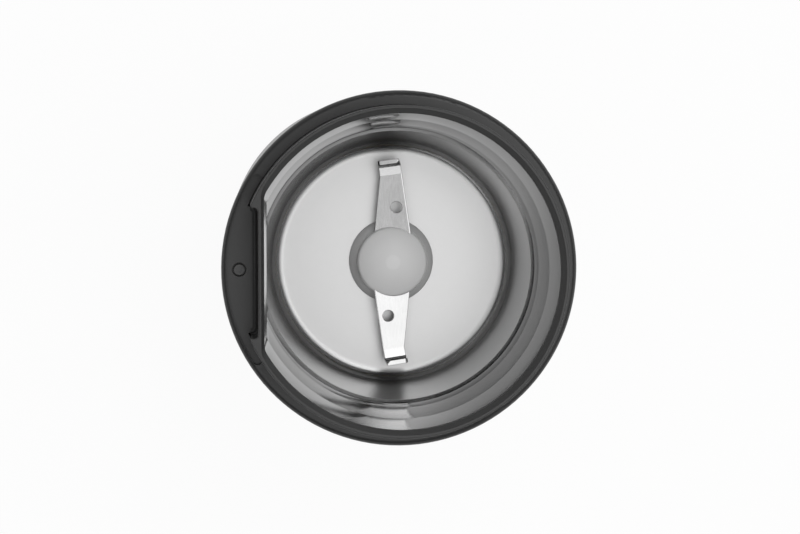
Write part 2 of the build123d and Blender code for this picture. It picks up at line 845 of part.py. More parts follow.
# Field coils, one round the neck of each pole
with BuildPart() as field_coils:
    coil_middle = (core_bottom + core_top) / 2
    coil_inside = pole_width / 2 + slide_gap
    coil_outside = coil_inside + coil_width
    with BuildSketch(Plane.XZ):
        with Locations((0, coil_middle)):
            RectangleRounded(
                2 * coil_outside, core_length + 2 * (coil_overhang + slide_gap), coil_round
            )
            Rectangle(2 * coil_inside, core_length + 2 * slide_gap, mode=Mode.SUBTRACT)
    extrude(amount=yoke_bore)
    with BuildSketch(Plane.XY.offset(core_bottom - 2 * coil_overhang)):
        Circle(yoke_bore - slide_gap)
        Circle(shoe_radius + slide_gap, mode=Mode.SUBTRACT)
    extrude(amount=core_length + 4 * coil_overhang, mode=Mode.INTERSECT)
    mirror(about=Plane.XZ)
field_coils.part.label = "field_coils"
export_step(field_coils.part, "parts/field_coils.step")

# Upper bracket: bearing boss, ears for the dampers, columns down to the stator
with BuildPart() as upper_bracket:
    with BuildSketch(Plane.XY.offset(upper_plate)):
        SlotCenterToCenter(2 * lug_pitch, bracket_bar_width)
        for ear_x, ear_y in polar_places(damper_ring, damper_count, damper_angle):
            with Locations((ear_x / 2, ear_y / 2)):
                SlotCenterToCenter(
                    damper_ring, 2 * ear_radius, rotation=degrees(atan2(ear_y, ear_x))
                )
    extrude(amount=bracket_plate)
    with BuildSketch(Plane.XY.offset(upper_plate)):
        Circle(boss_radius)
    extrude(amount=bearing_length)
    with BuildSketch(Plane.XY.offset(core_top)):
        with Locations((lug_pitch, 0), (-lug_pitch, 0)):
            Circle(lug_radius)
    extrude(amount=upper_plate - core_top)
    with BuildSketch(Plane.XY.offset(upper_plate - overrun)):
        Circle(bearing_radius + fit_gap)
        with PolarLocations(damper_ring, damper_count, damper_angle):
            Circle(screw_radius + mould_gap)
    extrude(amount=bearing_length + 2 * overrun, mode=Mode.SUBTRACT)
    with BuildSketch(Plane.XY.offset(core_top)):
        with Locations((lug_pitch, 0), (-lug_pitch, 0)):
            Circle(motor_screw_radius + fit_gap)
    extrude(amount=motor_screw_bite + screw_end_room, mode=Mode.SUBTRACT)
upper_bracket.part.label = "upper_bracket"
export_step(upper_bracket.part, "parts/upper_bracket.step")

# Bearing bushes of the two brackets
with BuildPart() as upper_bearing:
    with BuildSketch(Plane.XY.offset(upper_plate)):
        Circle(bearing_radius)
        Circle(shaft_radius + run_gap, mode=Mode.SUBTRACT)
    extrude(amount=bearing_length)
upper_bearing.part.label = "upper_bearing"
export_step(upper_bearing.part, "parts/upper_bearing.step")

with BuildPart() as lower_bearing:
    with BuildSketch(Plane.XY.offset(lower_plate)):
        Circle(bearing_radius)
        Circle(shaft_radius + run_gap, mode=Mode.SUBTRACT)
    extrude(amount=bearing_length)
lower_bearing.part.label = "lower_bearing"
export_step(lower_bearing.part, "parts/lower_bearing.step")

# Lower bracket: bearing boss, columns up to the stator, uprights for the brush tubes
tube_start = commutator_radius + holder_start
tube_end = yoke_bore - holder_inset
holder_length = tube_end - tube_start
tube_width = brush_width + 2 * (holder_wall + fit_gap)
tube_height = brush_height + 2 * (holder_wall + fit_gap)
upright_start = tube_end - upright_length
upright_top = brush_level + tube_height / 2 + upright_wall
with BuildPart() as lower_bracket:
    with BuildSketch(Plane.XY.offset(lower_plate)):
        SlotCenterToCenter(2 * lug_pitch, bracket_bar_width)
        Rectangle(brush_arm_width, 2 * tube_end)
    extrude(amount=bracket_plate)
    with BuildSketch(Plane.XY.offset(lower_plate)):
        Circle(boss_radius)
    extrude(amount=bearing_length)
    with BuildSketch(Plane.XY.offset(lower_plate)):
        with Locations((lug_pitch, 0), (-lug_pitch, 0)):
            Circle(lug_radius)
    extrude(amount=core_bottom - lower_plate)
    with BuildSketch(Plane.XY.offset(lower_plate)):
        with Locations((0, upright_start), (0, -tube_end)):
            Rectangle(brush_arm_width, upright_length, align=(Align.CENTER, Align.MIN))
    extrude(amount=upright_top - lower_plate)
    with BuildSketch(Plane.XZ.offset(-tube_end - overrun)):
        with Locations((0, brush_level)):
            Rectangle(tube_width + 2 * fit_gap, tube_height + 2 * fit_gap)
    extrude(amount=2 * (tube_end + overrun), mode=Mode.SUBTRACT)
    with BuildSketch(Plane.XY.offset(lower_plate - overrun)):
        Circle(bearing_radius + fit_gap)
        with Locations((lug_pitch, 0), (-lug_pitch, 0)):
            Circle(motor_screw_radius + mould_gap)
    extrude(amount=core_bottom - lower_plate + 2 * overrun, mode=Mode.SUBTRACT)
lower_bracket.part.label = "lower_bracket"
export_step(lower_bracket.part, "parts/lower_bracket.step")

# Long screws through lower bracket and stator into the upper bracket
with BuildPart() as motor_screws:
    upward_screws(
        [(lug_pitch, 0), (-lug_pitch, 0)],
        lower_plate,
        motor_screw_head_radius,
        motor_screw_head_height,
        motor_screw_radius,
        core_top - lower_plate + motor_screw_bite,
    )
motor_screws.part.label = "motor_screws"
export_step(motor_screws.part, "parts/motor_screws.step")

# Brush tubes, brushes, their springs and end caps, on both sides of the commutator
with BuildPart() as brush_holders:
    with BuildSketch(Plane.XZ.offset(-tube_end)):
        with Locations((0, brush_level)):
            Rectangle(tube_width, tube_height)
            Rectangle(
                brush_width + 2 * fit_gap, brush_height + 2 * fit_gap, mode=Mode.SUBTRACT
            )
    extrude(amount=holder_length)
    mirror(about=Plane.XZ)
brush_holders.part.label = "brush_holders"
export_step(brush_holders.part, "parts/brush_holders.step")

brush_start = commutator_radius + brush_gap
brush_end = brush_start + brush_length
with BuildPart() as carbon_brushes:
    with BuildSketch(Plane.XZ.offset(-brush_end)):
        with Locations((0, brush_level)):
            Rectangle(brush_width, brush_height)
    extrude(amount=brush_length)
    mirror(about=Plane.XZ)
carbon_brushes.part.label = "carbon_brushes"
export_step(carbon_brushes.part, "parts/carbon_brushes.step")

with BuildPart() as brush_caps:
    with BuildSketch(Plane.XZ.offset(-tube_end - brush_cap_thickness)):
        with Locations((0, brush_level)):
            Rectangle(tube_width, tube_height)
    extrude(amount=brush_cap_thickness)
    mirror(about=Plane.XZ)
brush_caps.part.label = "brush_caps"
export_step(brush_caps.part, "parts/brush_caps.step")

with BuildPart() as brush_springs:
    spring_room = tube_end - brush_end - 2 * (brush_spring_wire + fit_gap)
    with BuildLine() as brush_coil:
        Helix(
            spring_room / brush_spring_turns,
            spring_room,
            brush_spring_radius,
            center=(0, brush_end + brush_spring_wire + fit_gap, brush_level),
            direction=(0, 1, 0),
        )
    with BuildSketch(Plane(brush_coil.line @ 0, z_dir=brush_coil.line % 0)):
        Circle(brush_spring_wire)
    sweep(path=brush_coil.line, is_frenet=True)
    mirror(about=Plane.XZ)
brush_springs.part.label = "brush_springs"
export_step(brush_springs.part, "parts/brush_springs.step")

# Rubber dampers between motor and chassis, and their screws
with BuildPart() as motor_dampers:
    with BuildSketch(Plane.XY.offset(upper_plate_top)):
        with PolarLocations(damper_ring, damper_count, damper_angle):
            Circle(damper_radius)
            Circle(screw_radius + mould_gap, mode=Mode.SUBTRACT)
    extrude(amount=damper_height)
motor_dampers.part.label = "motor_dampers"
export_step(motor_dampers.part, "parts/motor_dampers.step")

with BuildPart() as damper_screws:
    upward_screws(
        polar_places(damper_ring, damper_count, damper_angle),
        upper_plate,
        screw_head_radius,
        screw_head_height,
        screw_radius,
        chassis_top - upper_plate,
    )
damper_screws.part.label = "damper_screws"
export_step(damper_screws.part, "parts/damper_screws.step")

# Brass insert that the shaft screws into, with a flange under the blade
with BuildPart() as hub_insert:
    with BuildSketch(Plane.XY.offset(insert_bottom)):
        Circle(insert_flange_radius)
    extrude(amount=insert_flange)
    with BuildSketch(Plane.XY.offset(insert_bottom)):
        Circle(insert_radius)
    extrude(amount=shaft_top + insert_end - insert_bottom)
    with BuildSketch(Plane.XY.offset(insert_bottom)):
        Circle(shaft_radius + fit_gap)
    extrude(amount=shaft_top + fit_gap - insert_bottom, mode=Mode.SUBTRACT)
hub_insert.part.label = "hub_insert"
export_step(hub_insert.part, "parts/hub_insert.step")

# Two-winged blade: pitched wings with turned-up tips on a flat middle
wing_root = insert_flange_radius + slide_gap
wing_tip = bowl_lower_radius - wing_clear
with BuildPart() as blade:
    with BuildSketch(Plane.XY.offset(blade_bottom)):
        Circle(wing_root + blade_core_margin)
    extrude(amount=blade_thickness)
    for side in (1, -1):
        pitch = radians(wing_angle)
        lift = sin(pitch) * side
        wing = Plane((0, 0, blade_bottom), x_dir=(side, 0, 0), z_dir=(0, lift, cos(pitch)))
        tip_skew = tan(radians(tip_slant))
        with BuildSketch(wing):
            with BuildLine():
                Polyline(
                    (wing_root, -wing_lead_root),
                    (wing_tip + wing_lead_tip * tip_skew, -wing_lead_tip),
                    (wing_tip - wing_trail_tip * tip_skew, wing_trail_tip),
                    (wing_root, wing_trail_root),
                    close=True,
                )
            make_face()
            with Locations((wing_hole_place, -wing_hole_offset)):
                Circle(wing_hole_radius, mode=Mode.SUBTRACT)
        extrude(amount=blade_thickness)
        slant = radians(tip_slant)
        along = wing.x_dir * sin(-slant) + wing.y_dir * cos(slant)
        outward = wing.x_dir * cos(slant) + wing.y_dir * sin(slant)
        tip_middle = (wing_trail_tip - wing_lead_tip) / 2
        tip_half = (wing_trail_tip + wing_lead_tip) / 2
        tip_place = wing.from_local_coords((wing_tip - tip_middle * tip_skew, tip_middle, 0))
        tip = Plane(tip_place, x_dir=outward, z_dir=-along)
        bend_centre = blade_thickness + tip_bend
        with BuildSketch(tip):
            with BuildLine():
                Line((0, blade_thickness), (0, 0))
                CenterArc((0, bend_centre), bend_centre, -90, 90)
                Polyline(
                    (bend_centre, bend_centre),
                    (bend_centre, bend_centre + tip_flange),
                    (tip_bend, bend_centre + tip_flange),
                    (tip_bend, bend_centre),
                )
                CenterArc((0, bend_centre), tip_bend, -90, 90)
            make_face()
        extrude(amount=tip_half / cos(slant), both=True)
    with BuildSketch(Plane.XY.offset(blade_bottom - overrun)):
        Circle(insert_radius + fit_gap)
    extrude(amount=blade_thickness + 2 * overrun, mode=Mode.SUBTRACT)
blade.part.label = "blade"
export_step(blade.part, "parts/blade.step")

# Moulded cap over the middle of the blade
with BuildPart() as hub_cap:
    side_top = blade_top + hub_edge
    dome_radius = (hub_radius**2 + hub_dome**2) / (2 * hub_dome)
    with BuildSketch(Plane.XZ):
        with BuildLine():
            Polyline(
                (0, hub_top), (0, blade_bottom), (hub_radius, blade_bottom), (hub_radius, side_top)
            )
            RadiusArc((hub_radius, side_top), (0, hub_top), -dome_radius)
        make_face()
    revolve(axis=Axis.Z)
    rim = hub_cap.edges().filter_by_position(Axis.Z, side_top - fit_gap, side_top + fit_gap)
    fillet(rim, hub_round)
    with BuildSketch(Plane.XY.offset(blade_bottom)):
        Circle(insert_radius + fit_gap)
    extrude(amount=shaft_top + insert_end + fit_gap - blade_bottom, mode=Mode.SUBTRACT)
    add(blade.part, mode=Mode.SUBTRACT)
hub_cap.part.label = "hub_cap"
export_step(hub_cap.part, "parts/hub_cap.step")

# Safety pin: stem through the pocket's floor, flange in the guide, rod and pad over the lever
with BuildPart() as safety_pin:
    with BuildSketch(Plane.XY.offset(pad_bottom)):
        with Locations((0, pin_y)):
            Circle(pin_radius)
    extrude(amount=platform_top + pin_proud - pad_bottom)
    flange_top = platform_bottom - pin_flange_gap
    with BuildSketch(Plane.XY.offset(flange_top - pin_flange)):
        with Locations((0, pin_y)):
            Circle(pin_flange_radius)
    extrude(amount=pin_flange)
    pad_front = switch_y + pad_reach
    with BuildSketch(Plane.XY.offset(pad_bottom)):
        with Locations((0, pad_front)):
            Rectangle(2 * pin_radius, pad_front - pin_y, align=(Align.CENTER, Align.MAX))
    extrude(amount=pad_height)
    with BuildSketch(Plane.XY.offset(platform_top + pin_proud - pin_dimple_depth)):
        with Locations((0, pin_y)):
            Circle(pin_dimple_radius)
    extrude(amount=overrun, mode=Mode.SUBTRACT)
safety_pin.part.label = "safety_pin"
export_step(safety_pin.part, "parts/safety_pin.step")

# Ring pressed into the end of the guide, which the spring stands on
with BuildPart() as pin_retainer:
    with BuildSketch(Plane.XY.offset(retainer_bottom)):
        with Locations((0, pin_y)):
            Circle(guide_bore - fit_gap)
            Circle(pin_radius + mould_gap, mode=Mode.SUBTRACT)
    extrude(amount=retainer_thickness)
pin_retainer.part.label = "pin_retainer"
export_step(pin_retainer.part, "parts/pin_retainer.step")

# Return spring of the pin
with BuildPart() as pin_spring:
    spring_bottom = retainer_bottom + retainer_thickness + spring_wire + spring_gap
    spring_top = flange_top - pin_flange - spring_wire - spring_gap
    with BuildLine() as pin_coil:
        Helix(
            (spring_top - spring_bottom) / spring_turns,
            spring_top - spring_bottom,
            spring_radius,
            center=(0, pin_y, spring_bottom),
        )
    with BuildSketch(Plane(pin_coil.line @ 0, z_dir=pin_coil.line % 0)):
        Circle(spring_wire)
    sweep(path=pin_coil.line, is_frenet=True)
pin_spring.part.label = "pin_spring"
export_step(pin_spring.part, "parts/pin_spring.step")

# Microswitch body with ears for the lever, a well for the plunger and two screw holes
ear_offset = lever_width / 2 + slide_gap
ear_top = pivot_level + 2 * pivot_pin_radius
screw_xs = (switch_middle - switch_screw_spacing / 2, switch_middle + switch_screw_spacing / 2)
switch_screw_level = switch_top - switch_screw_drop
with BuildPart() as switch_body:
    with BuildSketch(Plane.XY.offset(switch_bottom)):
        with Locations((switch_middle, switch_y)):
            Rectangle(switch_length, switch_width)
    extrude(amount=switch_height)
    with BuildSketch(Plane.XY.offset(switch_top)):
        for ear_side in (1, -1):
            with Locations((pivot_x, switch_y + ear_side * (ear_offset + pivot_ear / 2))):
                Rectangle(pivot_ear_length, pivot_ear)
    extrude(amount=ear_top - switch_top)
    with BuildSketch(Plane.XY.offset(plunger_top - plunger_depth - plunger_sink)):
        with Locations((plunger_x, switch_y)):
            Circle(plunger_radius + mould_gap)
    extrude(amount=plunger_depth + plunger_sink + overrun, mode=Mode.SUBTRACT)
    with BuildSketch(Plane.XZ.offset(-switch_y - switch_width)):
        with Locations((pivot_x, pivot_level)):
            Circle(pivot_pin_radius + run_gap)
        for screw_x in screw_xs:
            with Locations((screw_x, switch_screw_level)):
                Circle(switch_screw_radius + mould_gap)
    extrude(amount=2 * switch_width, mode=Mode.SUBTRACT)
switch_body.part.label = "switch_body"
export_step(switch_body.part, "parts/switch_body.step")

# Lever on its pivot, raised towards the pin
with BuildPart() as switch_lever:
    lever_face = -switch_y - lever_width / 2
    lever_plane = Plane(
        (pivot_x, -lever_face, pivot_level), x_dir=(1, 0, lever_slope), z_dir=(0, -1, 0)
    )
    with BuildSketch(lever_plane):
        Rectangle(lever_length, lever_thickness, align=(Align.MIN, Align.CENTER))
        Circle(lever_barrel)
    extrude(amount=lever_width)
    pivot_reach = ear_offset + pivot_ear
    with BuildSketch(Plane.XZ.offset(-switch_y - pivot_reach)):
        with Locations((pivot_x, pivot_level)):
            Circle(pivot_pin_radius)
    extrude(amount=2 * pivot_reach)
switch_lever.part.label = "switch_lever"
export_step(switch_lever.part, "parts/switch_lever.step")

with BuildPart() as switch_plunger:
    with BuildSketch(Plane.XY.offset(plunger_top - plunger_depth)):
        with Locations((plunger_x, switch_y)):
            Circle(plunger_radius)
    extrude(amount=plunger_depth)
switch_plunger.part.label = "switch_plunger"
export_step(switch_plunger.part, "parts/switch_plunger.step")

with BuildPart() as switch_terminals:
    with BuildSketch(Plane.XY.offset(switch_bottom - terminal_length)):
        with Locations((switch_middle, switch_y)):
            with GridLocations(terminal_spacing, 0, terminal_count, 1):
                Rectangle(terminal_width, terminal_thickness)
    extrude(amount=terminal_length)
switch_terminals.part.label = "switch_terminals"
export_step(switch_terminals.part, "parts/switch_terminals.step")

# Bent sheet bracket that stands on the chassis behind the switch
with BuildPart() as switch_holder:
    with BuildSketch(Plane.XZ.offset(switch_back - bracket_sheet)):
        with Locations((switch_start, chassis_top)):
            Rectangle(
                switch_length, switch_top - chassis_top, align=(Align.MIN, Align.MIN)
            )
    extrude(amount=bracket_sheet)
    with BuildSketch(Plane.XY.offset(chassis_top)):
        with Locations((holder_start_x, -switch_back + bracket_sheet)):
            Rectangle(
                holder_span, holder_foot_width + bracket_sheet, align=(Align.MIN, Align.MAX)
            )
        Circle(chassis_radius - slide_gap, mode=Mode.INTERSECT)
        with Locations((switch_middle, switch_y)):
            SlotCenterToCenter(
                2 * terminal_spacing, 2 * (lead_radius + lead_slot_gap), mode=Mode.SUBTRACT
            )
    extrude(amount=bracket_sheet)
    with BuildSketch(Plane.XZ.offset(switch_back - bracket_sheet - overrun)):
        for screw_x in screw_xs:
            with Locations((screw_x, switch_screw_level)):
                Circle(switch_screw_radius + fit_gap)
    extrude(amount=bracket_sheet + 2 * overrun, mode=Mode.SUBTRACT)
    with BuildSketch(Plane.XY.offset(chassis_top)):
        with Locations(
            (holder_start_x + holder_screw_inset, holder_screw_y),
            (holder_start_x + holder_span - holder_screw_inset, holder_screw_y),
        ):
            Circle(switch_screw_radius + mould_gap)
    extrude(amount=bracket_sheet, mode=Mode.SUBTRACT)
switch_holder.part.label = "switch_holder"
export_step(switch_holder.part, "parts/switch_holder.step")

with BuildPart() as switch_screws:
    switch_front = switch_back + switch_width
    with BuildSketch(Plane.XZ.offset(switch_front)):
        for screw_x in screw_xs:
            with Locations((screw_x, switch_screw_level)):
                Circle(switch_screw_head)
    extrude(amount=switch_screw_head_height)
    with BuildSketch(Plane.XZ.offset(switch_back - bracket_sheet)):
        for screw_x in screw_xs:
            with Locations((screw_x, switch_screw_level)):
                Circle(switch_screw_radius)
    extrude(amount=switch_width + bracket_sheet)
switch_screws.part.label = "switch_screws"
export_step(switch_screws.part, "parts/switch_screws.step")

with BuildPart() as holder_screws:
    with BuildSketch(Plane.XY.offset(chassis_top + bracket_sheet)):
        with Locations(
            (holder_start_x + holder_screw_inset, holder_screw_y),
            (holder_start_x + holder_span - holder_screw_inset, holder_screw_y),
        ):
            Circle(switch_screw_head)
    extrude(amount=switch_screw_head_height)
    with BuildSketch(Plane.XY.offset(chassis_top + bracket_sheet)):
        with Locations(
            (holder_start_x + holder_screw_inset, holder_screw_y),
            (holder_start_x + holder_span - holder_screw_inset, holder_screw_y),
        ):
            Circle(switch_screw_radius)
    extrude(amount=-bracket_sheet - holder_screw_bite)
holder_screws.part.label = "holder_screws"
export_step(holder_screws.part, "parts/holder_screws.step")

# Base cover: vents under the fan, seats for feet and screws, cradles for the electrical pieces
capacitor_y = -(fan_radius + device_gap + capacitor_width / 2)
block_y = fan_radius + device_gap + block_width / 2
foot_pitch = cover_radius - foot_inset
with BuildPart() as base_cover:
    with BuildSketch(Plane.XY.offset(base_bottom)):
        Circle(cover_radius)
        with PolarLocations((vent_inner + vent_outer) / 2, vent_count):
            SlotOverall(vent_outer - vent_inner, vent_width, mode=Mode.SUBTRACT)
        with PolarLocations(lower_post_pitch, lower_post_count, lower_post_angle):
            Circle(screw_radius + mould_gap, mode=Mode.SUBTRACT)
        with PolarLocations(foot_pitch, foot_count, foot_angle):
            Circle(foot_plug_radius + fit_gap, mode=Mode.SUBTRACT)
    extrude(amount=base_thickness)
    with BuildSketch(Plane.XY.offset(base_bottom)):
        with PolarLocations(lower_post_pitch, lower_post_count, lower_post_angle):
            Circle(screw_head_radius + mould_gap)
    extrude(amount=screw_head_height + counterbore_room, mode=Mode.SUBTRACT)
    with BuildSketch(Plane.XY.offset(base_top)):
        for device_y, length, width in (
            (capacitor_y, capacitor_length, capacitor_width),
            (block_y, block_length, block_width),
        ):
            with Locations((0, device_y)):
                Rectangle(
                    length + 2 * (cradle_gap + cradle_wall), width + 2 * (cradle_gap + cradle_wall)
                )
                Rectangle(
                    length + 2 * cradle_gap, width + 2 * cradle_gap, mode=Mode.SUBTRACT
                )
    extrude(amount=cradle_height)
base_cover.part.label = "base_cover"
export_step(base_cover.part, "parts/base_cover.step")

with BuildPart() as base_screws:
    upward_screws(
        polar_places(lower_post_pitch, lower_post_count, lower_post_angle),
        base_bottom + screw_head_height + counterbore_room,
        screw_head_radius,
        screw_head_height,
        screw_radius,
        base_thickness - screw_head_height - counterbore_room + screw_grip,
    )
base_screws.part.label = "base_screws"
export_step(base_screws.part, "parts/base_screws.step")

with BuildPart() as rubber_feet:
    with BuildSketch(Plane.XY):
        with PolarLocations(foot_pitch, foot_count, foot_angle):
            Circle(foot_radius)
    extrude(amount=foot_height)
    with BuildSketch(Plane.XY.offset(foot_height)):
        with PolarLocations(foot_pitch, foot_count, foot_angle):
            Circle(foot_plug_radius)
    extrude(amount=base_thickness)
rubber_feet.part.label = "rubber_feet"
export_step(rubber_feet.part, "parts/rubber_feet.step")

# Rubber bush in the rear wall
with BuildPart() as cord_gland:
    with BuildSketch(Plane.XZ.offset(-gland_pad - gland_flange)):
        with Locations((0, gland_level)):
            Circle(gland_flange_radius)
    extrude(amount=gland_flange)
    with BuildSketch(Plane.XZ.offset(-gland_pad)):
        with Locations((0, gland_level)):
            Circle(gland_neck)
    extrude(amount=gland_seat)
    with BuildSketch(Plane.XZ.offset(-gland_inner)):
        with Locations((0, gland_level)):
            Circle(gland_flange_radius)
    extrude(amount=gland_flange)
    with BuildSketch(Plane.XZ.offset(-gland_pad - gland_flange)):
        with Locations((0, gland_level)):
            Circle(gland_bore)
    extrude(amount=gland_seat + 2 * gland_flange, mode=Mode.SUBTRACT)
cord_gland.part.label = "cord_gland"
export_step(cord_gland.part, "parts/cord_gland.step")

# Capacitor and terminal block in their cradles
with BuildPart() as suppression_capacitor:
    with BuildSketch(Plane.XY.offset(base_top)):
        with Locations((0, capacitor_y)):
            RectangleRounded(capacitor_length, capacitor_width, capacitor_round)
    extrude(amount=capacitor_height)
suppression_capacitor.part.label = "suppression_capacitor"
export_step(suppression_capacitor.part, "parts/suppression_capacitor.step")

block_screw_x = block_length / 4
block_top = base_top + block_height
with BuildPart() as terminal_block:
    with BuildSketch(Plane.XY.offset(base_top)):
        with Locations((0, block_y)):
            Rectangle(block_length, block_width)
    extrude(amount=block_height)
    with BuildSketch(Plane.XY.offset(block_top - block_screw_length)):
        with Locations((block_screw_x, block_y), (-block_screw_x, block_y)):
            Circle(block_screw_radius + fit_gap)
    extrude(amount=block_screw_length, mode=Mode.SUBTRACT)
terminal_block.part.label = "terminal_block"
export_step(terminal_block.part, "parts/terminal_block.step")

with BuildPart() as block_screws:
    with BuildSketch(Plane.XY.offset(block_top - block_screw_length)):
        with Locations((block_screw_x, block_y), (-block_screw_x, block_y)):
            Circle(block_screw_radius)
    extrude(amount=block_screw_length)
    with BuildSketch(Plane.XY.offset(block_top)):
        with Locations((block_screw_x, block_y), (-block_screw_x, block_y)):
            Circle(block_screw_head)
    extrude(amount=block_screw_head_height)
block_screws.part.label = "block_screws"
export_step(block_screws.part, "parts/block_screws.step")

# Insulated leads: switch to front coil, rear coil to block, and switch round the motor to block
coil_level = core_top + coil_overhang / 2
coil_face = yoke_bore - slide_gap + lead_end_gap
lead_start = switch_bottom - terminal_length - lead_end_gap
front_lead_x = switch_middle - terminal_spacing
long_lead_x = switch_middle + terminal_spacing
rear_lead_y = stator_radius + lead_clear + lead_radius
block_lead_top = block_top + lead_end_gap
long_lead_end = block_length / 2 - lead_radius - slide_gap
ring_radius = lug_pitch + lug_radius + lead_clear + lead_radius
ring_top = coil_level - lead_radius
front_route = [
    (front_lead_x, switch_y, lead_start),
    (front_lead_x, switch_y, coil_level),
    (front_lead_x, -sqrt(coil_face**2 - (front_lead_x + lead_radius) ** 2), coil_level),
]
rear_route = [
    (0, rear_lead_y, block_lead_top),
    (0, rear_lead_y, coil_level),
    (0, coil_face, coil_level),
]
long_route = [(long_lead_x, switch_y, lead_start), (long_lead_x, switch_y, ring_top)]
for lead_step in range(lead_turn_steps + 1):
    lead_share = lead_step / lead_turn_steps
    lead_angle = radians(lead_turn_start + lead_share * (lead_turn_end - lead_turn_start))
    long_route.append(
        (
            ring_radius * cos(lead_angle),
            ring_radius * sin(lead_angle),
            ring_top - lead_share * lead_fall,
        )
    )
long_route.append((long_lead_end, rear_lead_y, ring_top - lead_fall))
long_route.append((long_lead_end, rear_lead_y, block_lead_top))


def bend_radii(route):
    """Radius at each corner of a route, as large as its two runs allow."""
    radii = []
    spots = [Vector(*point) for point in route]
    for before, corner, after in zip(spots, spots[1:], spots[2:]):
        turn = (corner - before).get_angle(after - corner)
        shorter = min((corner - before).length, (after - corner).length)
        radii.append(lead_bend_share * shorter / tan(radians(turn / 2)))
    return radii


with BuildPart() as motor_leads:
    for route in (front_route, rear_route, long_route):
        with BuildLine() as lead_path:
            FilletPolyline(*route, radius=bend_radii(route))
        with BuildSketch(Plane(lead_path.line @ 0, z_dir=lead_path.line % 0)):
            Circle(lead_radius)
        sweep(path=lead_path.line)
        print("least bend of a lead", round(min(bend_radii(route)), 2))
motor_leads.part.label = "motor_leads"
export_step(motor_leads.part, "parts/motor_leads.step")

# Places that the joints use
print("lever pivot", round(pivot_x, 3), round(switch_y, 3), round(pivot_level, 3))
print("lever turn", round(lever_turn, 5), "rest angle", round(lever_rest_angle, 3))
print("plunger", round(plunger_x, 3), "pin", round(pin_y, 3))
print("spring from", round(retainer_bottom + retainer_thickness, 3))
print("platform", round(platform_top, 3), "ledge", round(ledge_level, 3))
print("lip", round(lip_level, 3), "floor", round(floor_level, 3), "hub", round(hub_top, 3))
print("gland", round(gland_pad, 3), round(gland_inner, 3), round(gland_level, 3))
print("feet at", round(foot_pitch, 3))
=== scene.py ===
import json
from math import asin, copysign, cos, degrees, pi, radians, sin, tan

import bpy
from mathutils import Matrix, Vector


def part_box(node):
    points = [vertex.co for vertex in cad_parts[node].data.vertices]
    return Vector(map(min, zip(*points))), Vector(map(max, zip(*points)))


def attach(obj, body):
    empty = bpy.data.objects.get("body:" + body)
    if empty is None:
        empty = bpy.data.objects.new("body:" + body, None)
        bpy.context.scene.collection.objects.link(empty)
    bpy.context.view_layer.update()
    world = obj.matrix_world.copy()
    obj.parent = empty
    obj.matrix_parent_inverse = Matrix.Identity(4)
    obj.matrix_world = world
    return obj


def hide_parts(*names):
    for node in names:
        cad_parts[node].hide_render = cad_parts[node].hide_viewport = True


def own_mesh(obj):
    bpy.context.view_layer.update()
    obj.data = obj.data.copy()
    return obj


# Electric coffee grinder, seen from above with its lid off. Metres, in the frame of the solids.
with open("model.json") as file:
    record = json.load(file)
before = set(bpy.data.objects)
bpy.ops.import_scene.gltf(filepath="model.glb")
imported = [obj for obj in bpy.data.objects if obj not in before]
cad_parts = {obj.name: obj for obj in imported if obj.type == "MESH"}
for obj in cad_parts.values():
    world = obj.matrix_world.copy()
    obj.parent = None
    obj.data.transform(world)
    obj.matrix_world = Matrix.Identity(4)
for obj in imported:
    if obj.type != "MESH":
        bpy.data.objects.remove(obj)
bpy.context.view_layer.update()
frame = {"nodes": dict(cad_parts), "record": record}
nodes = frame["nodes"]
scene = bpy.context.scene
MM = 0.001
merge_gap = 0.002 * MM

# Levels of the solids that the scene's own pieces meet
floor_level = 82.1 * MM
blade_level = 85.9 * MM
step_level = 103.6 * MM
ledge_level = 114.8 * MM
mouth_level = 125.6 * MM
lip_level = 127.8 * MM


# Materials: a value on a surface, and a finish that is built from such values

class Value:
    """A number or colour over a surface; arithmetic on it adds Math nodes."""

    def __init__(self, finish, socket):
        self.finish = finish
        self.socket = socket

    def math(self, operation, first, second=0.0):
        settings = {"operation": operation}
        return self.finish.node("ShaderNodeMath", settings, {0: first, 1: second})

    def __add__(self, other):
        return self.math("ADD", self, other)

    def __sub__(self, other):
        return self.math("SUBTRACT", self, other)

    def __rsub__(self, other):
        return self.math("SUBTRACT", other, self)

    def __mul__(self, other):
        return self.math("MULTIPLY", self, other)

    def __pow__(self, other):
        return self.math("POWER", self, other)

    __radd__ = __add__
    __rmul__ = __mul__

    def between(self, low, high):
        """0 below low, 1 above high, smooth on the way."""
        return self.finish.node(
            "ShaderNodeMapRange",
            {"interpolation_type": "SMOOTHSTEP"},
            {"Value": self, "From Min": low, "From Max": high},
        )


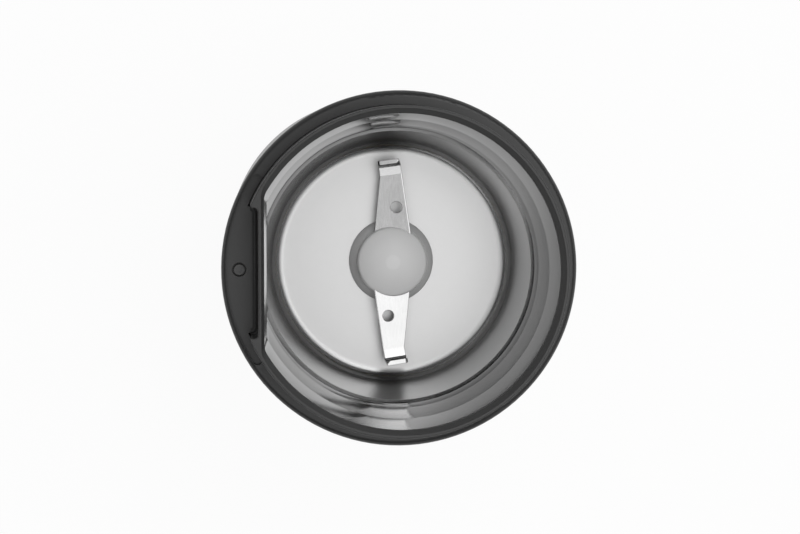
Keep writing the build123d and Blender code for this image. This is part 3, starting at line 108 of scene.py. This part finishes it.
class Finish:
    """One material: a Principled shader and the nodes that feed it."""

    def __init__(self, name, **sockets):
        self.material = bpy.data.materials.new(name)
        self.material.use_nodes = True
        self.tree = self.material.node_tree
        self.tree.nodes.clear()
        self.shader = self.node("ShaderNodeBsdfPrincipled", {}, {})
        self.output = self.node("ShaderNodeOutputMaterial", {}, {"Surface": self.shader})
        self.set(**sockets)

    def set(self, **sockets):
        principled = self.shader.socket.node
        for name, value in sockets.items():
            self.feed(principled.inputs[name.replace("_", " ")], value)

    def feed(self, socket, value):
        if isinstance(value, Value):
            self.tree.links.new(value.socket, socket)
        else:
            socket.default_value = value

    def node(self, kind, settings, inputs, output=0):
        """Adds a node, and gives the value at one of its outputs, or the node where it has none."""
        node = self.tree.nodes.new(kind)
        for name, value in settings.items():
            setattr(node, name, value)
        for name, value in inputs.items():
            self.feed(node.inputs[name], value)
        return Value(self, node.outputs[output]) if node.outputs else node

    def place(self):
        return self.node("ShaderNodeTexCoord", {}, {}, "Object")

    def axes(self):
        place = self.place()
        return [self.node("ShaderNodeSeparateXYZ", {}, {0: place}, axis) for axis in range(3)]

    def stretched(self, stretch):
        place = self.place()
        return self.node("ShaderNodeMapping", {}, {"Vector": place, "Scale": stretch})

    def noise(self, scale, detail=2.0, roughness=0.5, vector=None):
        """Grain between 0 and 1, in features per metre."""
        inputs = {"Scale": scale, "Detail": detail, "Roughness": roughness}
        inputs["Vector"] = vector or self.place()
        return self.node("ShaderNodeTexNoise", {}, inputs)

    def turned_place(self, across, along):
        """Coordinates that run round the shaft: fine across the lines, slow along them."""
        x, y, z = self.axes()
        radius = (x * x + y * y) ** 0.5
        turn = x.math("ARCTAN2", y, x)
        inputs = {0: turn * along, 1: z * across, 2: radius * across}
        return self.node("ShaderNodeCombineXYZ", {}, inputs)

    def tint(self, factor, low, high):
        """A colour between two others."""
        inputs = {"Factor": factor, "A": (*low, 1.0), "B": (*high, 1.0)}
        return self.node("ShaderNodeMix", {"data_type": "RGBA"}, inputs, "Result")

    def bump(self, height, strength, depth):
        inputs = {"Height": height, "Strength": strength, "Distance": depth}
        return self.node("ShaderNodeBump", {}, inputs, "Normal")


def grey(level):
    return (level, level, level)


def moulded(name, low, high, roughness, grain=2600.0, depth=0.02 * MM, **sockets):
    """Moulded plastic or rubber: a fine spark-eroded grain, soft clouding and dull scuffs."""
    finish = Finish(name, **sockets)
    grain_height = finish.noise(grain, 3.0, 0.6)
    cloud = finish.noise(45.0, 3.0)
    scuff = finish.noise(420.0, 4.0, 0.7).between(0.56, 0.72)
    finish.set(
        Base_Color=finish.tint(cloud * 0.7 + scuff * 0.3, low, high),
        Roughness=roughness + (cloud - 0.5) * 0.12 + scuff * 0.06,
        Normal=finish.bump(grain_height, 0.35, depth),
    )
    return finish


def drawn_metal(name, low, high, roughness, stretch=(400.0, 400.0, 9000.0), depth=0.01 * MM):
    """Bare metal with fine lines left by the tool, and faint stains."""
    finish = Finish(name, Metallic=1.0)
    lines = finish.noise(1.0, 3.0, 0.65, finish.stretched(stretch))
    stain = finish.noise(70.0, 3.0)
    finish.set(
        Base_Color=finish.tint(lines * 0.4 + stain * 0.6, low, high),
        Roughness=roughness + (lines - 0.5) * 0.12 + (stain - 0.5) * 0.1,
        Normal=finish.bump(lines, 0.25, depth),
    )
    return finish


# Moulded plastics and rubbers, the dark housing first
housing = moulded("dark_housing_plastic", grey(0.026), grey(0.036), 0.3, Specular_IOR_Level=0.35)
inner = moulded("glass_filled_plastic", grey(0.09), grey(0.15), 0.6, 900.0, 0.05 * MM)
pin_plastic = moulded("pin_plastic", grey(0.035), grey(0.05), 0.4, 3200.0)
rubber = moulded("black_rubber", grey(0.042), grey(0.06), 0.6, 1800.0, 0.04 * MM)
seal_rubber = moulded("seal_rubber", grey(0.38), grey(0.44), 0.5, 1800.0)
hub_plastic = moulded("grey_hub_plastic", grey(0.53), grey(0.60), 0.45, 2200.0, 0.015 * MM)

# Painted highlight: the hub's plastic is made paler in the middle, round the top of the dome
across, along = hub_plastic.axes()[:2]
from_axis = (across * across + along * along) ** 0.5
highlight_inner, highlight_outer = 1.5 * MM, 2.3 * MM
painted_highlight = 1 - from_axis.between(highlight_inner, highlight_outer)
hub_cloud = hub_plastic.noise(90.0, 3.0)
hub_plastic.set(Base_Color=hub_plastic.tint(hub_cloud * 0.5 + painted_highlight * 0.5, grey(0.53), grey(0.60)))

# Steel of the bowl: blasted floor, polished walls with rings left by the spinning tool
steel = Finish("bowl_steel", Metallic=1.0)
height = steel.axes()[2]
corner_share = height.between(floor_level + 0.02 * MM, floor_level + 0.5 * MM)
wall_share = height.between(floor_level + 2.0 * MM, floor_level + 4.5 * MM)
funnel_share = height.between(step_level - 0.5 * MM, step_level + 0.5 * MM)
rings = steel.noise(1.0, 3.0, 0.6, steel.turned_place(5200.0, 3.0))
frost = steel.noise(3000.0, 3.0, 0.7)
mottle = steel.noise(110.0, 4.0, 0.6)
texture = frost * (1 - wall_share) + rings * wall_share * 0.5
shine = 0.40 - corner_share * 0.15 - wall_share * 0.09 - funnel_share * 0.07
steel.set(
    Base_Color=steel.tint(
        mottle * 0.3 + rings * 0.1 + (1 - funnel_share) * 0.6, grey(0.36), grey(0.53)
    ),
    Roughness=shine + (mottle - 0.5) * 0.05,
    Normal=steel.bump(texture, 0.2, 0.01 * MM),
)

# Bare metals, and the plastics inside
blade_steel = drawn_metal(
    "blade_steel", grey(0.30), grey(0.58), 0.22, (500.0, 3000.0, 500.0), 0.007 * MM
)
zinc = drawn_metal("zinc_plate", (0.5, 0.51, 0.54), (0.62, 0.63, 0.65), 0.35)
spring_steel = drawn_metal("spring_wire", grey(0.36), grey(0.46), 0.3)
shaft_steel = drawn_metal("ground_shaft", grey(0.5), grey(0.58), 0.22)
core_steel = drawn_metal(
    "core_sheets", grey(0.16), grey(0.26), 0.45, (60.0, 60.0, 2600.0), 0.06 * MM
)
copper = drawn_metal(
    "enamelled_copper",
    (0.45, 0.17, 0.07),
    (0.62, 0.27, 0.12),
    0.32,
    (250.0, 250.0, 1800.0),
    0.08 * MM,
)
turned_copper = drawn_metal("turned_copper", (0.5, 0.24, 0.13), (0.66, 0.36, 0.22), 0.28)
brass = drawn_metal("turned_brass", (0.5, 0.37, 0.14), (0.62, 0.48, 0.22), 0.3)
bronze = drawn_metal("sintered_bronze", (0.3, 0.2, 0.09), (0.42, 0.29, 0.15), 0.5, (2600.0,) * 3)
aluminium = drawn_metal("cast_aluminium", grey(0.42), grey(0.55), 0.5, (700.0,) * 3, 0.06 * MM)
carbon = moulded("pressed_carbon", grey(0.02), grey(0.04), 0.55, 1500.0, 0.03 * MM)
switch_plastic = moulded("switch_plastic", grey(0.03), grey(0.05), 0.5)
plunger_plastic = moulded("plunger_plastic", (0.35, 0.02, 0.02), (0.45, 0.05, 0.04), 0.35)
capacitor = moulded("capacitor_case", (0.45, 0.32, 0.07), (0.55, 0.42, 0.12), 0.3)
nylon = moulded("natural_nylon", (0.55, 0.52, 0.44), (0.66, 0.63, 0.55), 0.5)
insulation = moulded("lead_insulation", (0.03, 0.06, 0.22), (0.05, 0.09, 0.28), 0.45, 1200.0)

finishes = {
    "dark_plastic": housing,
    "bowl_steel": steel,
    "blade_steel": blade_steel,
    "grey_plastic": hub_plastic,
    "seal_rubber": seal_rubber,
    "black_rubber": rubber,
    "inner_plastic": inner,
    "pin_plastic": pin_plastic,
    "zinc_steel": zinc,
    "spring_steel": spring_steel,
    "shaft_steel": shaft_steel,
    "core_steel": core_steel,
    "copper_wire": copper,
    "commutator_copper": turned_copper,
    "brass": brass,
    "bronze": bronze,
    "cast_aluminium": aluminium,
    "carbon": carbon,
    "switch_plastic": switch_plastic,
    "plunger_plastic": plunger_plastic,
    "capacitor_case": capacitor,
    "block_nylon": nylon,
    "lead_insulation": insulation,
}
for part in frame["record"]["subparts"]:
    skin = nodes[part["node"]].data.materials
    skin.clear()
    skin.append(finishes[part["material_slot"]].material)


# Pieces of the scene's own

def new_mesh(name):
    """A single point to model from, in edit mode, with nothing else selected."""
    bpy.ops.object.select_all(action="DESELECT")
    bpy.ops.mesh.primitive_plane_add(size=MM)
    piece = bpy.context.active_object
    piece.name = name
    bpy.ops.object.mode_set(mode="EDIT")
    bpy.ops.mesh.select_all(action="SELECT")
    bpy.ops.mesh.merge(type="CENTER")
    return piece


def turned(name, profile, steps):
    """A piece turned about the shaft from points of radius and level."""
    piece = new_mesh(name)
    bpy.ops.transform.translate(value=(profile[0][0], 0, profile[0][1]))
    for (radius, level), (next_radius, next_level) in zip(profile, profile[1:]):
        step = (next_radius - radius, 0, next_level - level)
        bpy.ops.mesh.extrude_region_move(TRANSFORM_OT_translate={"value": step})
    bpy.ops.mesh.select_all(action="SELECT")
    bpy.ops.mesh.spin(steps=steps, angle=2 * pi, center=(0, 0, 0), axis=(0, 0, 1))
    bpy.ops.mesh.select_all(action="SELECT")
    bpy.ops.mesh.remove_doubles(threshold=merge_gap)
    bpy.ops.mesh.normals_make_consistent(inside=False)
    bpy.ops.object.mode_set(mode="OBJECT")
    return piece


def finish_piece(piece, slot, body, node, smooth_angle):
    """Smooth shading, finish, body, and the solid that the piece stands for."""
    bpy.ops.object.select_all(action="DESELECT")
    piece.select_set(True)
    bpy.context.view_layer.objects.active = piece
    bpy.ops.object.shade_smooth_by_angle(angle=radians(smooth_angle))
    piece.data.materials.append(finishes[slot].material)
    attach(piece, body)
    if node:
        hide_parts(node)


def arc(centre, radius, start, end, count):
    """Points on an arc, angles in degrees."""
    turns = [radians(start + (end - start) * point / count) for point in range(count + 1)]
    return [(centre[0] + radius * cos(turn), centre[1] + radius * sin(turn)) for turn in turns]


# Grinding bowl: three bands parted by creases, a step, a plain wall, a rounded corner, the floor
bowl_sides = 384
sheet_thickness = 0.6 * MM
mouth_radius = 39.2 * MM
step_radius = 35.5 * MM
wall_radius = 34.6 * MM
floor_hole = 6.05 * MM
corner_radius = 3.45 * MM
ledge_round = 0.35 * MM
ledge_slope = radians(35)
ledge_points = 6
ledge_start = -6
ledge_run = step_radius - wall_radius - 2 * ledge_round * (1 - cos(ledge_slope))
ledge_rise = 2 * ledge_round * sin(ledge_slope) + ledge_run / tan(ledge_slope)
crease_levels = (mouth_level, 116.8 * MM, 108.0 * MM, step_level + ledge_rise / 2)
crease_height = 0.3 * MM
band_leans = (10.4, 12.9, 15.5)
band_bulge = 0.06 * MM
band_points = 9
wall_points = 16
foot_lean, top_lean = radians(13), radians(7)
wall_curve = 1.6
corner_points = 24
floor_points = 12
funnel_lean = (mouth_radius - step_radius) / (mouth_level - step_level)

bowl_profile = []
for band, (upper, lower) in enumerate(zip(crease_levels, crease_levels[1:])):
    middle = step_radius + funnel_lean * ((upper + lower) / 2 - step_level)
    band_lean = tan(radians(band_leans[band]))
    if band > 0:
        upper -= crease_height
    for point in range(band_points + 1):
        share = point / band_points
        level = upper + (lower - upper) * share
        bulge = 4 * band_bulge * share * (1 - share)
        radius = middle + band_lean * (level - (upper + lower) / 2) - bulge
        bowl_profile.append((radius, level))
inner_corner = (step_radius - ledge_round, step_level + ledge_rise / 2)
outer_corner = (wall_radius + ledge_round, step_level - ledge_rise / 2)
ledge_turn = degrees(ledge_slope)
bowl_profile += arc(inner_corner, ledge_round, ledge_start, -ledge_turn, ledge_points)
bowl_profile += arc(outer_corner, ledge_round, 180 - ledge_turn, 180, ledge_points)
wall_foot = floor_level + corner_radius * (1 - sin(foot_lean))
radius, level = bowl_profile[-1]
wall_step = (level - wall_foot) / wall_points
for point in range(wall_points):
    share = (point + 0.5) / wall_points
    radius -= wall_step * tan(top_lean + (foot_lean - top_lean) * share**wall_curve)
    level -= wall_step
    bowl_profile.append((radius, level))
corner_centre = (radius - corner_radius * cos(foot_lean), floor_level + corner_radius)
bowl_profile += arc(corner_centre, corner_radius, -degrees(foot_lean), -90, corner_points)[1:]
for point in range(1, floor_points + 1):
    share = point / floor_points
    radius = corner_centre[0] + (floor_hole - corner_centre[0]) * share
    bowl_profile.append((radius, floor_level))
bowl = turned("steel_bowl", bowl_profile, bowl_sides)

# The flat side, pressed in from its leaning top until it runs out in the lower wall
flat_at_step = 33.6 * MM
flat_upright = 14.0 * MM
flat_lean = tan(radians(5.5))
round_at_step = 0.3 * MM
round_growth = 0.35 * MM
round_lean = round_growth / (mouth_level - step_level)
for vertex in bowl.data.vertices:
    rise = vertex.co.z - step_level
    flat = -(flat_at_step + flat_lean * max(rise - flat_upright, 0))
    flat_round = round_at_step + round_lean * max(rise, 0)
    near = max(flat_round - abs(vertex.co.y - flat), 0)
    vertex.co.y = max(vertex.co.y, flat) + near * near / (4 * flat_round)
sheet = bowl.modifiers.new("sheet", "SOLIDIFY")
sheet.thickness = sheet_thickness
sheet.offset = 1.0
bpy.context.view_layer.objects.active = bowl
bpy.ops.object.modifier_apply(modifier="sheet")
finish_piece(bowl, "bowl_steel", "housing", "grinding_bowl", smooth_angle=40)

# Shaft seal: a rubber ring with a sloped side
ring_sides = 144
seal_radius = 11.1 * MM
seal_shoulder = 9.7 * MM
seal_bore = 3.2 * MM
seal_top = 84.5 * MM
seal_foot = 82.5 * MM
seal_round = 0.3 * MM
seal_profile = [(seal_bore, floor_level), (seal_radius, floor_level)]
seal_profile += [(seal_radius, seal_foot), (seal_radius - seal_round / 2, seal_foot + seal_round)]
seal_profile += [(seal_shoulder, seal_top - seal_round / 2), (seal_shoulder - seal_round, seal_top)]
seal_profile += [(seal_bore, seal_top), (seal_bore, floor_level)]
seal = turned("seal_ring", seal_profile, ring_sides)
finish_piece(seal, "seal_rubber", "housing", "shaft_seal", smooth_angle=50)

# Hub cap: a low dome with a rounded edge
hub_radius = 9.2 * MM
hub_round = 1.4 * MM
foot_round = 0.3 * MM
hub_top = 90.1 * MM
dome_radius = 17.0 * MM
dome_centre = hub_top - dome_radius
dome_points = 20
edge_points = 6
foot_points = 4
dome_slope = degrees(asin((hub_radius - hub_round) / (dome_radius - hub_round)))
round_centre = (
    hub_radius - hub_round,
    dome_centre + (dome_radius - hub_round) * cos(radians(dome_slope)),
)
hub_profile = [(0.0, blade_level), (hub_radius - foot_round, blade_level)]
foot_centre = (hub_radius - foot_round, blade_level + foot_round)
hub_profile += arc(foot_centre, foot_round, -90, 0, foot_points)[1:]
hub_profile += arc(round_centre, hub_round, 0, 90 - dome_slope, edge_points)
hub_profile += arc((0.0, dome_centre), dome_radius, 90 - dome_slope, 90, dome_points)[1:]
hub = turned("hub_dome", hub_profile, ring_sides)
finish_piece(hub, "grey_plastic", "rotor", "hub_cap", smooth_angle=40)


# Blade: two pitched wings with a ground leading edge, a drilled hole and a turned-up tip
blade_thickness = 1.2 * MM
wing_pitch = radians(7)
wing_root = 6.9 * MM
wing_tip = 22.9 * MM
lead_root, lead_tip = 5.1 * MM, 2.7 * MM
trail_root, trail_tip = 4.6 * MM, 3.1 * MM
ground_width, ground_drop = 0.32 * MM, 0.09 * MM
tip_slant = radians(8)
ramp_run = 2.0 * MM
ramp_slope = radians(10)
tip_bend = 1.0 * MM
tip_flange = 1.5 * MM
bend_steps = 14
tip_corner = 0.8 * MM
tip_lead_edge, tip_trail_edge = -1.95 * MM, 2.0 * MM
tip_corner_steps = 5
edge_round = 0.1 * MM
edge_angle = radians(50)
hole_place = (14.3 * MM, -1.2 * MM)
hole_radius = 1.5 * MM
middle_radius = 7.8 * MM
middle_hole = 4.65 * MM
cut_depth = 6 * MM


def select_edges(piece, wanted):
    """In edit mode, selects the edges whose two ends both pass a test."""
    bpy.ops.mesh.select_all(action="DESELECT")
    bpy.ops.object.mode_set(mode="OBJECT")
    points = piece.data.vertices
    for edge in piece.data.edges:
        edge.select = all(wanted(points[end].co) for end in edge.vertices)
    bpy.ops.object.mode_set(mode="EDIT")


def disc(radius, depth, place, sides):
    """A round block to add or to cut with."""
    bpy.ops.object.select_all(action="DESELECT")
    bpy.ops.mesh.primitive_cylinder_add(vertices=sides, radius=radius, depth=depth, location=place)
    block = bpy.context.active_object
    bpy.ops.object.transform_apply(location=True, rotation=True, scale=True)
    return block


def combine(piece, other, operation):
    """Joins or cuts a piece with another, which is used up."""
    modifier = piece.modifiers.new("combine", "BOOLEAN")
    modifier.operation = operation
    modifier.object = other
    bpy.context.view_layer.objects.active = piece
    bpy.ops.object.modifier_apply(modifier="combine")
    bpy.data.objects.remove(other, do_unlink=True)


def make_wing():
    """One wing along +X, lying flat, its leading edge towards -Y."""
    bpy.ops.object.select_all(action="DESELECT")
    bpy.ops.mesh.primitive_plane_add(size=MM)
    wing = bpy.context.active_object
    skew = tan(tip_slant)
    lead_corner = lead_tip - ground_width
    corners = (
        (wing_root, -lead_root + ground_width),
        (wing_tip + lead_corner * skew, -lead_corner),
        (wing_root, trail_root),
        (wing_tip - trail_tip * skew, trail_tip),
    )
    for vertex, (x, y) in zip(wing.data.vertices, corners):
        vertex.co = (x, y, blade_thickness)
    bpy.ops.object.mode_set(mode="EDIT")
    bpy.ops.mesh.select_mode(type="EDGE")
    select_edges(wing, lambda place: place.y < 0)
    ground = (ground_width * skew, -ground_width, -ground_drop)
    bpy.ops.mesh.extrude_region_move(TRANSFORM_OT_translate={"value": ground})
    select_edges(wing, lambda place: place.x > wing_tip - MM)
    outwards = Vector((cos(tip_slant), sin(tip_slant), 0))
    ramp = outwards * ramp_run + Vector((0, 0, ramp_run * tan(ramp_slope)))
    bpy.ops.mesh.extrude_region_move(TRANSFORM_OT_translate={"value": ramp})
    bend_centre = Vector((wing_tip, 0, blade_thickness)) + ramp
    bend_centre += Vector((0, 0, tip_bend * cos(ramp_slope))) - outwards * tip_bend * sin(ramp_slope)
    bpy.ops.mesh.spin(
        steps=bend_steps,
        angle=pi / 2 - ramp_slope,
        center=bend_centre,
        axis=(-sin(tip_slant), cos(tip_slant), 0),
    )
    bpy.ops.mesh.extrude_region_move(TRANSFORM_OT_translate={"value": (0, 0, tip_flange)})
    bpy.ops.mesh.select_all(action="SELECT")
    bpy.ops.mesh.remove_doubles(threshold=merge_gap)
    bpy.ops.mesh.normals_make_consistent(inside=False)
    bpy.ops.object.mode_set(mode="OBJECT")
    sheet = wing.modifiers.new("sheet", "SOLIDIFY")
    sheet.thickness = blade_thickness
    sheet.offset = -copysign(1.0, wing.data.polygons[0].normal.z)
    sheet.use_even_offset = True
    bpy.ops.object.modifier_apply(modifier="sheet")
    combine(wing, disc(hole_radius, cut_depth, (*hole_place, 0), 48), "DIFFERENCE")
    rim = max(vertex.co.z for vertex in wing.data.vertices)
    bpy.ops.object.mode_set(mode="EDIT")
    upper_edge = rim - tip_flange / 3
    tip_sides = (lambda place: place.y < tip_lead_edge, lambda place: place.y > tip_trail_edge)
    for on_side in tip_sides:
        select_edges(wing, lambda place: place.z > upper_edge and on_side(place))
        bpy.ops.mesh.bevel(offset=tip_corner, segments=tip_corner_steps, affect="EDGES")
    bpy.ops.object.mode_set(mode="OBJECT")
    edge = wing.modifiers.new("edge", "BEVEL")
    edge.width = edge_round
    edge.segments = 2
    edge.angle_limit = edge_angle
    bpy.ops.object.modifier_apply(modifier="edge")
    wing.data.transform(Matrix.Rotation(-wing_pitch, 4, "X"))
    wing.data.transform(Matrix.Translation((0, 0, blade_level)))
    return wing


blade = make_wing()
blade.name = "steel_blade"
other_wing = blade.copy()
other_wing.data = blade.data.copy()
scene.collection.objects.link(other_wing)
other_wing.data.transform(Matrix.Rotation(pi, 4, "Z"))
middle_place = (0, 0, blade_level + blade_thickness / 2)
middle = disc(middle_radius, blade_thickness, middle_place, 96)
combine(middle, disc(middle_hole, cut_depth, middle_place, 64), "DIFFERENCE")
bpy.ops.object.select_all(action="DESELECT")
for piece in (blade, other_wing, middle):
    piece.select_set(True)
bpy.context.view_layer.objects.active = blade
bpy.ops.object.join()
finish_piece(blade, "blade_steel", "rotor", "blade", smooth_angle=8)


# Pocket: a rounded moulding in the corner between its floor and its three walls
pocket_floor = 113.4 * MM
pocket_face = 35.85 * MM
pocket_half = 16.06 * MM
cove_round = 1.8 * MM
cove_embed = 0.1 * MM
cove_lift = 0.02 * MM
cove_steps = 10
hollow_reach = 6 * cove_round


def block(low, high):
    """A box between two corners, to keep or to cut with."""
    bpy.ops.object.select_all(action="DESELECT")
    middle = [(first + last) / 2 for first, last in zip(low, high)]
    bpy.ops.mesh.primitive_cube_add(size=1.0, location=middle)
    box = bpy.context.active_object
    box.scale = [last - first for first, last in zip(low, high)]
    bpy.ops.object.transform_apply(location=True, rotation=True, scale=True)
    return box


cove = block(
    (-pocket_half - cove_embed, -pocket_face - cove_round, pocket_floor - cove_embed),
    (pocket_half + cove_embed, -pocket_face + cove_embed, pocket_floor + cove_round),
)
cove.name = "pocket_cove"
hollow = block(
    (-pocket_half, -pocket_face - hollow_reach, pocket_floor + cove_lift),
    (pocket_half, -pocket_face, pocket_floor + hollow_reach),
)
rounding = hollow.modifiers.new("rounding", "BEVEL")
rounding.width = cove_round
rounding.segments = cove_steps
bpy.ops.object.modifier_apply(modifier="rounding")
combine(cove, hollow, "DIFFERENCE")
finish_piece(cove, "dark_plastic", "housing", None, smooth_angle=50)


# Return spring under the pin: a coil built at one fixed length; the spring shortens as the pin goes
# down, which this mesh does not follow
spring_radius = 2.0 * MM
spring_wire = 0.25 * MM
spring_turns = 6
spring_sides, spring_steps = 12, 32
pin_place = -40.425 * MM
spring_low, spring_high = [corner[2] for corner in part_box("pin_spring")]
bpy.ops.object.select_all(action="DESELECT")
bpy.ops.mesh.primitive_circle_add(
    vertices=spring_sides,
    radius=spring_wire,
    location=(spring_radius, 0, 0),
    rotation=(pi / 2, 0, 0),
)
spring = bpy.context.active_object
spring.name = "return_spring"
bpy.ops.object.transform_apply(location=True, rotation=True, scale=True)
coil = spring.modifiers.new("coil", "SCREW")
coil.screw_offset = (spring_high - spring_low - 2 * spring_wire) / spring_turns
coil.iterations = spring_turns
coil.steps = spring_steps
coil.render_steps = spring_steps
bpy.ops.object.modifier_apply(modifier="coil")
bpy.ops.object.mode_set(mode="EDIT")
bpy.ops.mesh.select_all(action="SELECT")
bpy.ops.mesh.remove_doubles(threshold=merge_gap)
bpy.ops.mesh.fill_holes(sides=0)
bpy.ops.mesh.normals_make_consistent(inside=False)
bpy.ops.object.mode_set(mode="OBJECT")
bpy.ops.transform.translate(value=(0, pin_place, spring_low + spring_wire))
bpy.ops.object.transform_apply(location=True, rotation=True, scale=True)
finish_piece(spring, "spring_steel", "housing", "pin_spring", smooth_angle=40)
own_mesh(spring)

# White paper floor and backdrop; the floor is clear from below, to show the underside
floor_gap = 0.05 * MM
backdrop_radius = 2.9
backdrop_height = 1.3
backdrop_sides = 96
paper_glow = 0.94
bpy.ops.object.select_all(action="DESELECT")
bpy.ops.mesh.primitive_plane_add(size=2 * backdrop_radius, location=(0, 0, -floor_gap))
floor = bpy.context.active_object
floor.name = "studio_floor"
bpy.ops.object.select_all(action="DESELECT")
bpy.ops.mesh.primitive_cylinder_add(
    vertices=backdrop_sides,
    radius=backdrop_radius,
    depth=backdrop_height,
    end_fill_type="NOTHING",
    location=(0, 0, backdrop_height / 2),
)
backdrop = bpy.context.active_object
backdrop.name = "studio_backdrop"
paper = Finish("white_paper", Base_Color=(0.9, 0.9, 0.9, 1.0), Roughness=0.9)
paper.set(Normal=paper.bump(paper.noise(300.0), 0.1, 0.1 * MM))
glow = paper.node("ShaderNodeEmission", {}, {})
clear = paper.node("ShaderNodeBsdfTransparent", {}, {})
seen = paper.node("ShaderNodeLightPath", {}, {}, "Is Camera Ray")
seen = seen + paper.node("ShaderNodeLightPath", {}, {}, "Is Glossy Ray")
seen = seen + paper.node("ShaderNodeLightPath", {}, {}, "Is Transmission Ray")
share = seen.between(0.0, 1.0) * paper_glow
front = paper.node("ShaderNodeMixShader", {}, {0: share, 1: paper.shader, 2: glow})
behind = paper.node("ShaderNodeNewGeometry", {}, {}, "Backfacing")
sided = paper.node("ShaderNodeMixShader", {}, {0: behind, 1: front, 2: clear})
paper.feed(paper.output.inputs["Surface"], sided)
bpy.ops.object.mode_set(mode="EDIT")
bpy.ops.mesh.flip_normals()
bpy.ops.object.mode_set(mode="OBJECT")
for screen in (floor, backdrop):
    screen.data.materials.append(paper.material)

# Lamps: softboxes overhead that the steel mirrors, and a fill that shows in no reflection
world_level = 0.045
world = bpy.data.worlds.new("studio")
scene.world = world
world.use_nodes = True
world.node_tree.nodes["Background"].inputs["Color"].default_value = (*grey(world_level), 1.0)
strip_turn = radians(68)


def softbox(name, height, low, high, level):
    """A flat softbox above the object, between two corners along and across the strip."""
    lamp = bpy.data.lights.new(name, "AREA")
    lamp.shape = "RECTANGLE"
    lamp.size = high[0] - low[0]
    lamp.size_y = high[1] - low[1]
    lamp.energy = level * pi * lamp.size * lamp.size_y
    box = bpy.data.objects.new(name, lamp)
    scene.collection.objects.link(box)
    middle = Vector(((low[0] + high[0]) / 2, (low[1] + high[1]) / 2, height))
    turn = Matrix.Rotation(strip_turn, 4, "Z")
    box.matrix_world = turn @ Matrix.Translation(middle)
    return box


softbox("wide_softbox", 1.5, (-1.4, -1.4), (1.4, 1.4), 0.12)
softbox("long_softbox", 1.45, (-1.1, -0.5), (1.4, 0.5), 0.8)
softbox("bright_softbox", 1.4, (0.05, -0.33), (0.72, 0.46), 1.3)
softbox("upper_softbox", 1.4, (-0.32, 0.42), (0.32, 1.15), 2.9)
softbox("lower_softbox", 1.4, (-0.42, -0.92), (0.18, -0.42), 1.6)
fill = softbox("fill_softbox", 1.3, (-0.3, -0.1), (1.1, 1.3), 1.15)
fill.visible_glossy = False

# Camera: nearly overhead, a little off towards the pocket and to one side
camera_rise = 600 * MM
camera_tilt = radians(6.0)
camera_heading = radians(136)
sensor_width = 36.0
frame_width = 800
pixel_at_ledge = 0.2518 * MM
aim_right, aim_up = -0.07 * pixel_at_ledge, 2.12 * pixel_at_ledge
camera = bpy.data.objects.new("camera", bpy.data.cameras.new("camera"))
scene.collection.objects.link(camera)
scene.camera = camera
reach = camera_rise * tan(camera_tilt)
stand = Vector((
    -reach * sin(camera_heading),
    reach * cos(camera_heading),
    lip_level + camera_rise,
))
aim = Vector((-aim_up, aim_right, ledge_level))
back = (stand - aim).normalized()
right = Vector((-1, 0, 0)).cross(back).normalized()
up = back.cross(right)
camera.matrix_world = Matrix.Translation(stand) @ Matrix((right, up, back)).transposed().to_4x4()
camera.data.sensor_width = sensor_width
camera.data.lens = sensor_width * (stand - aim).length / (frame_width * pixel_at_ledge)
camera.data.clip_start = 0.01

scene.view_settings.view_transform = "Standard"
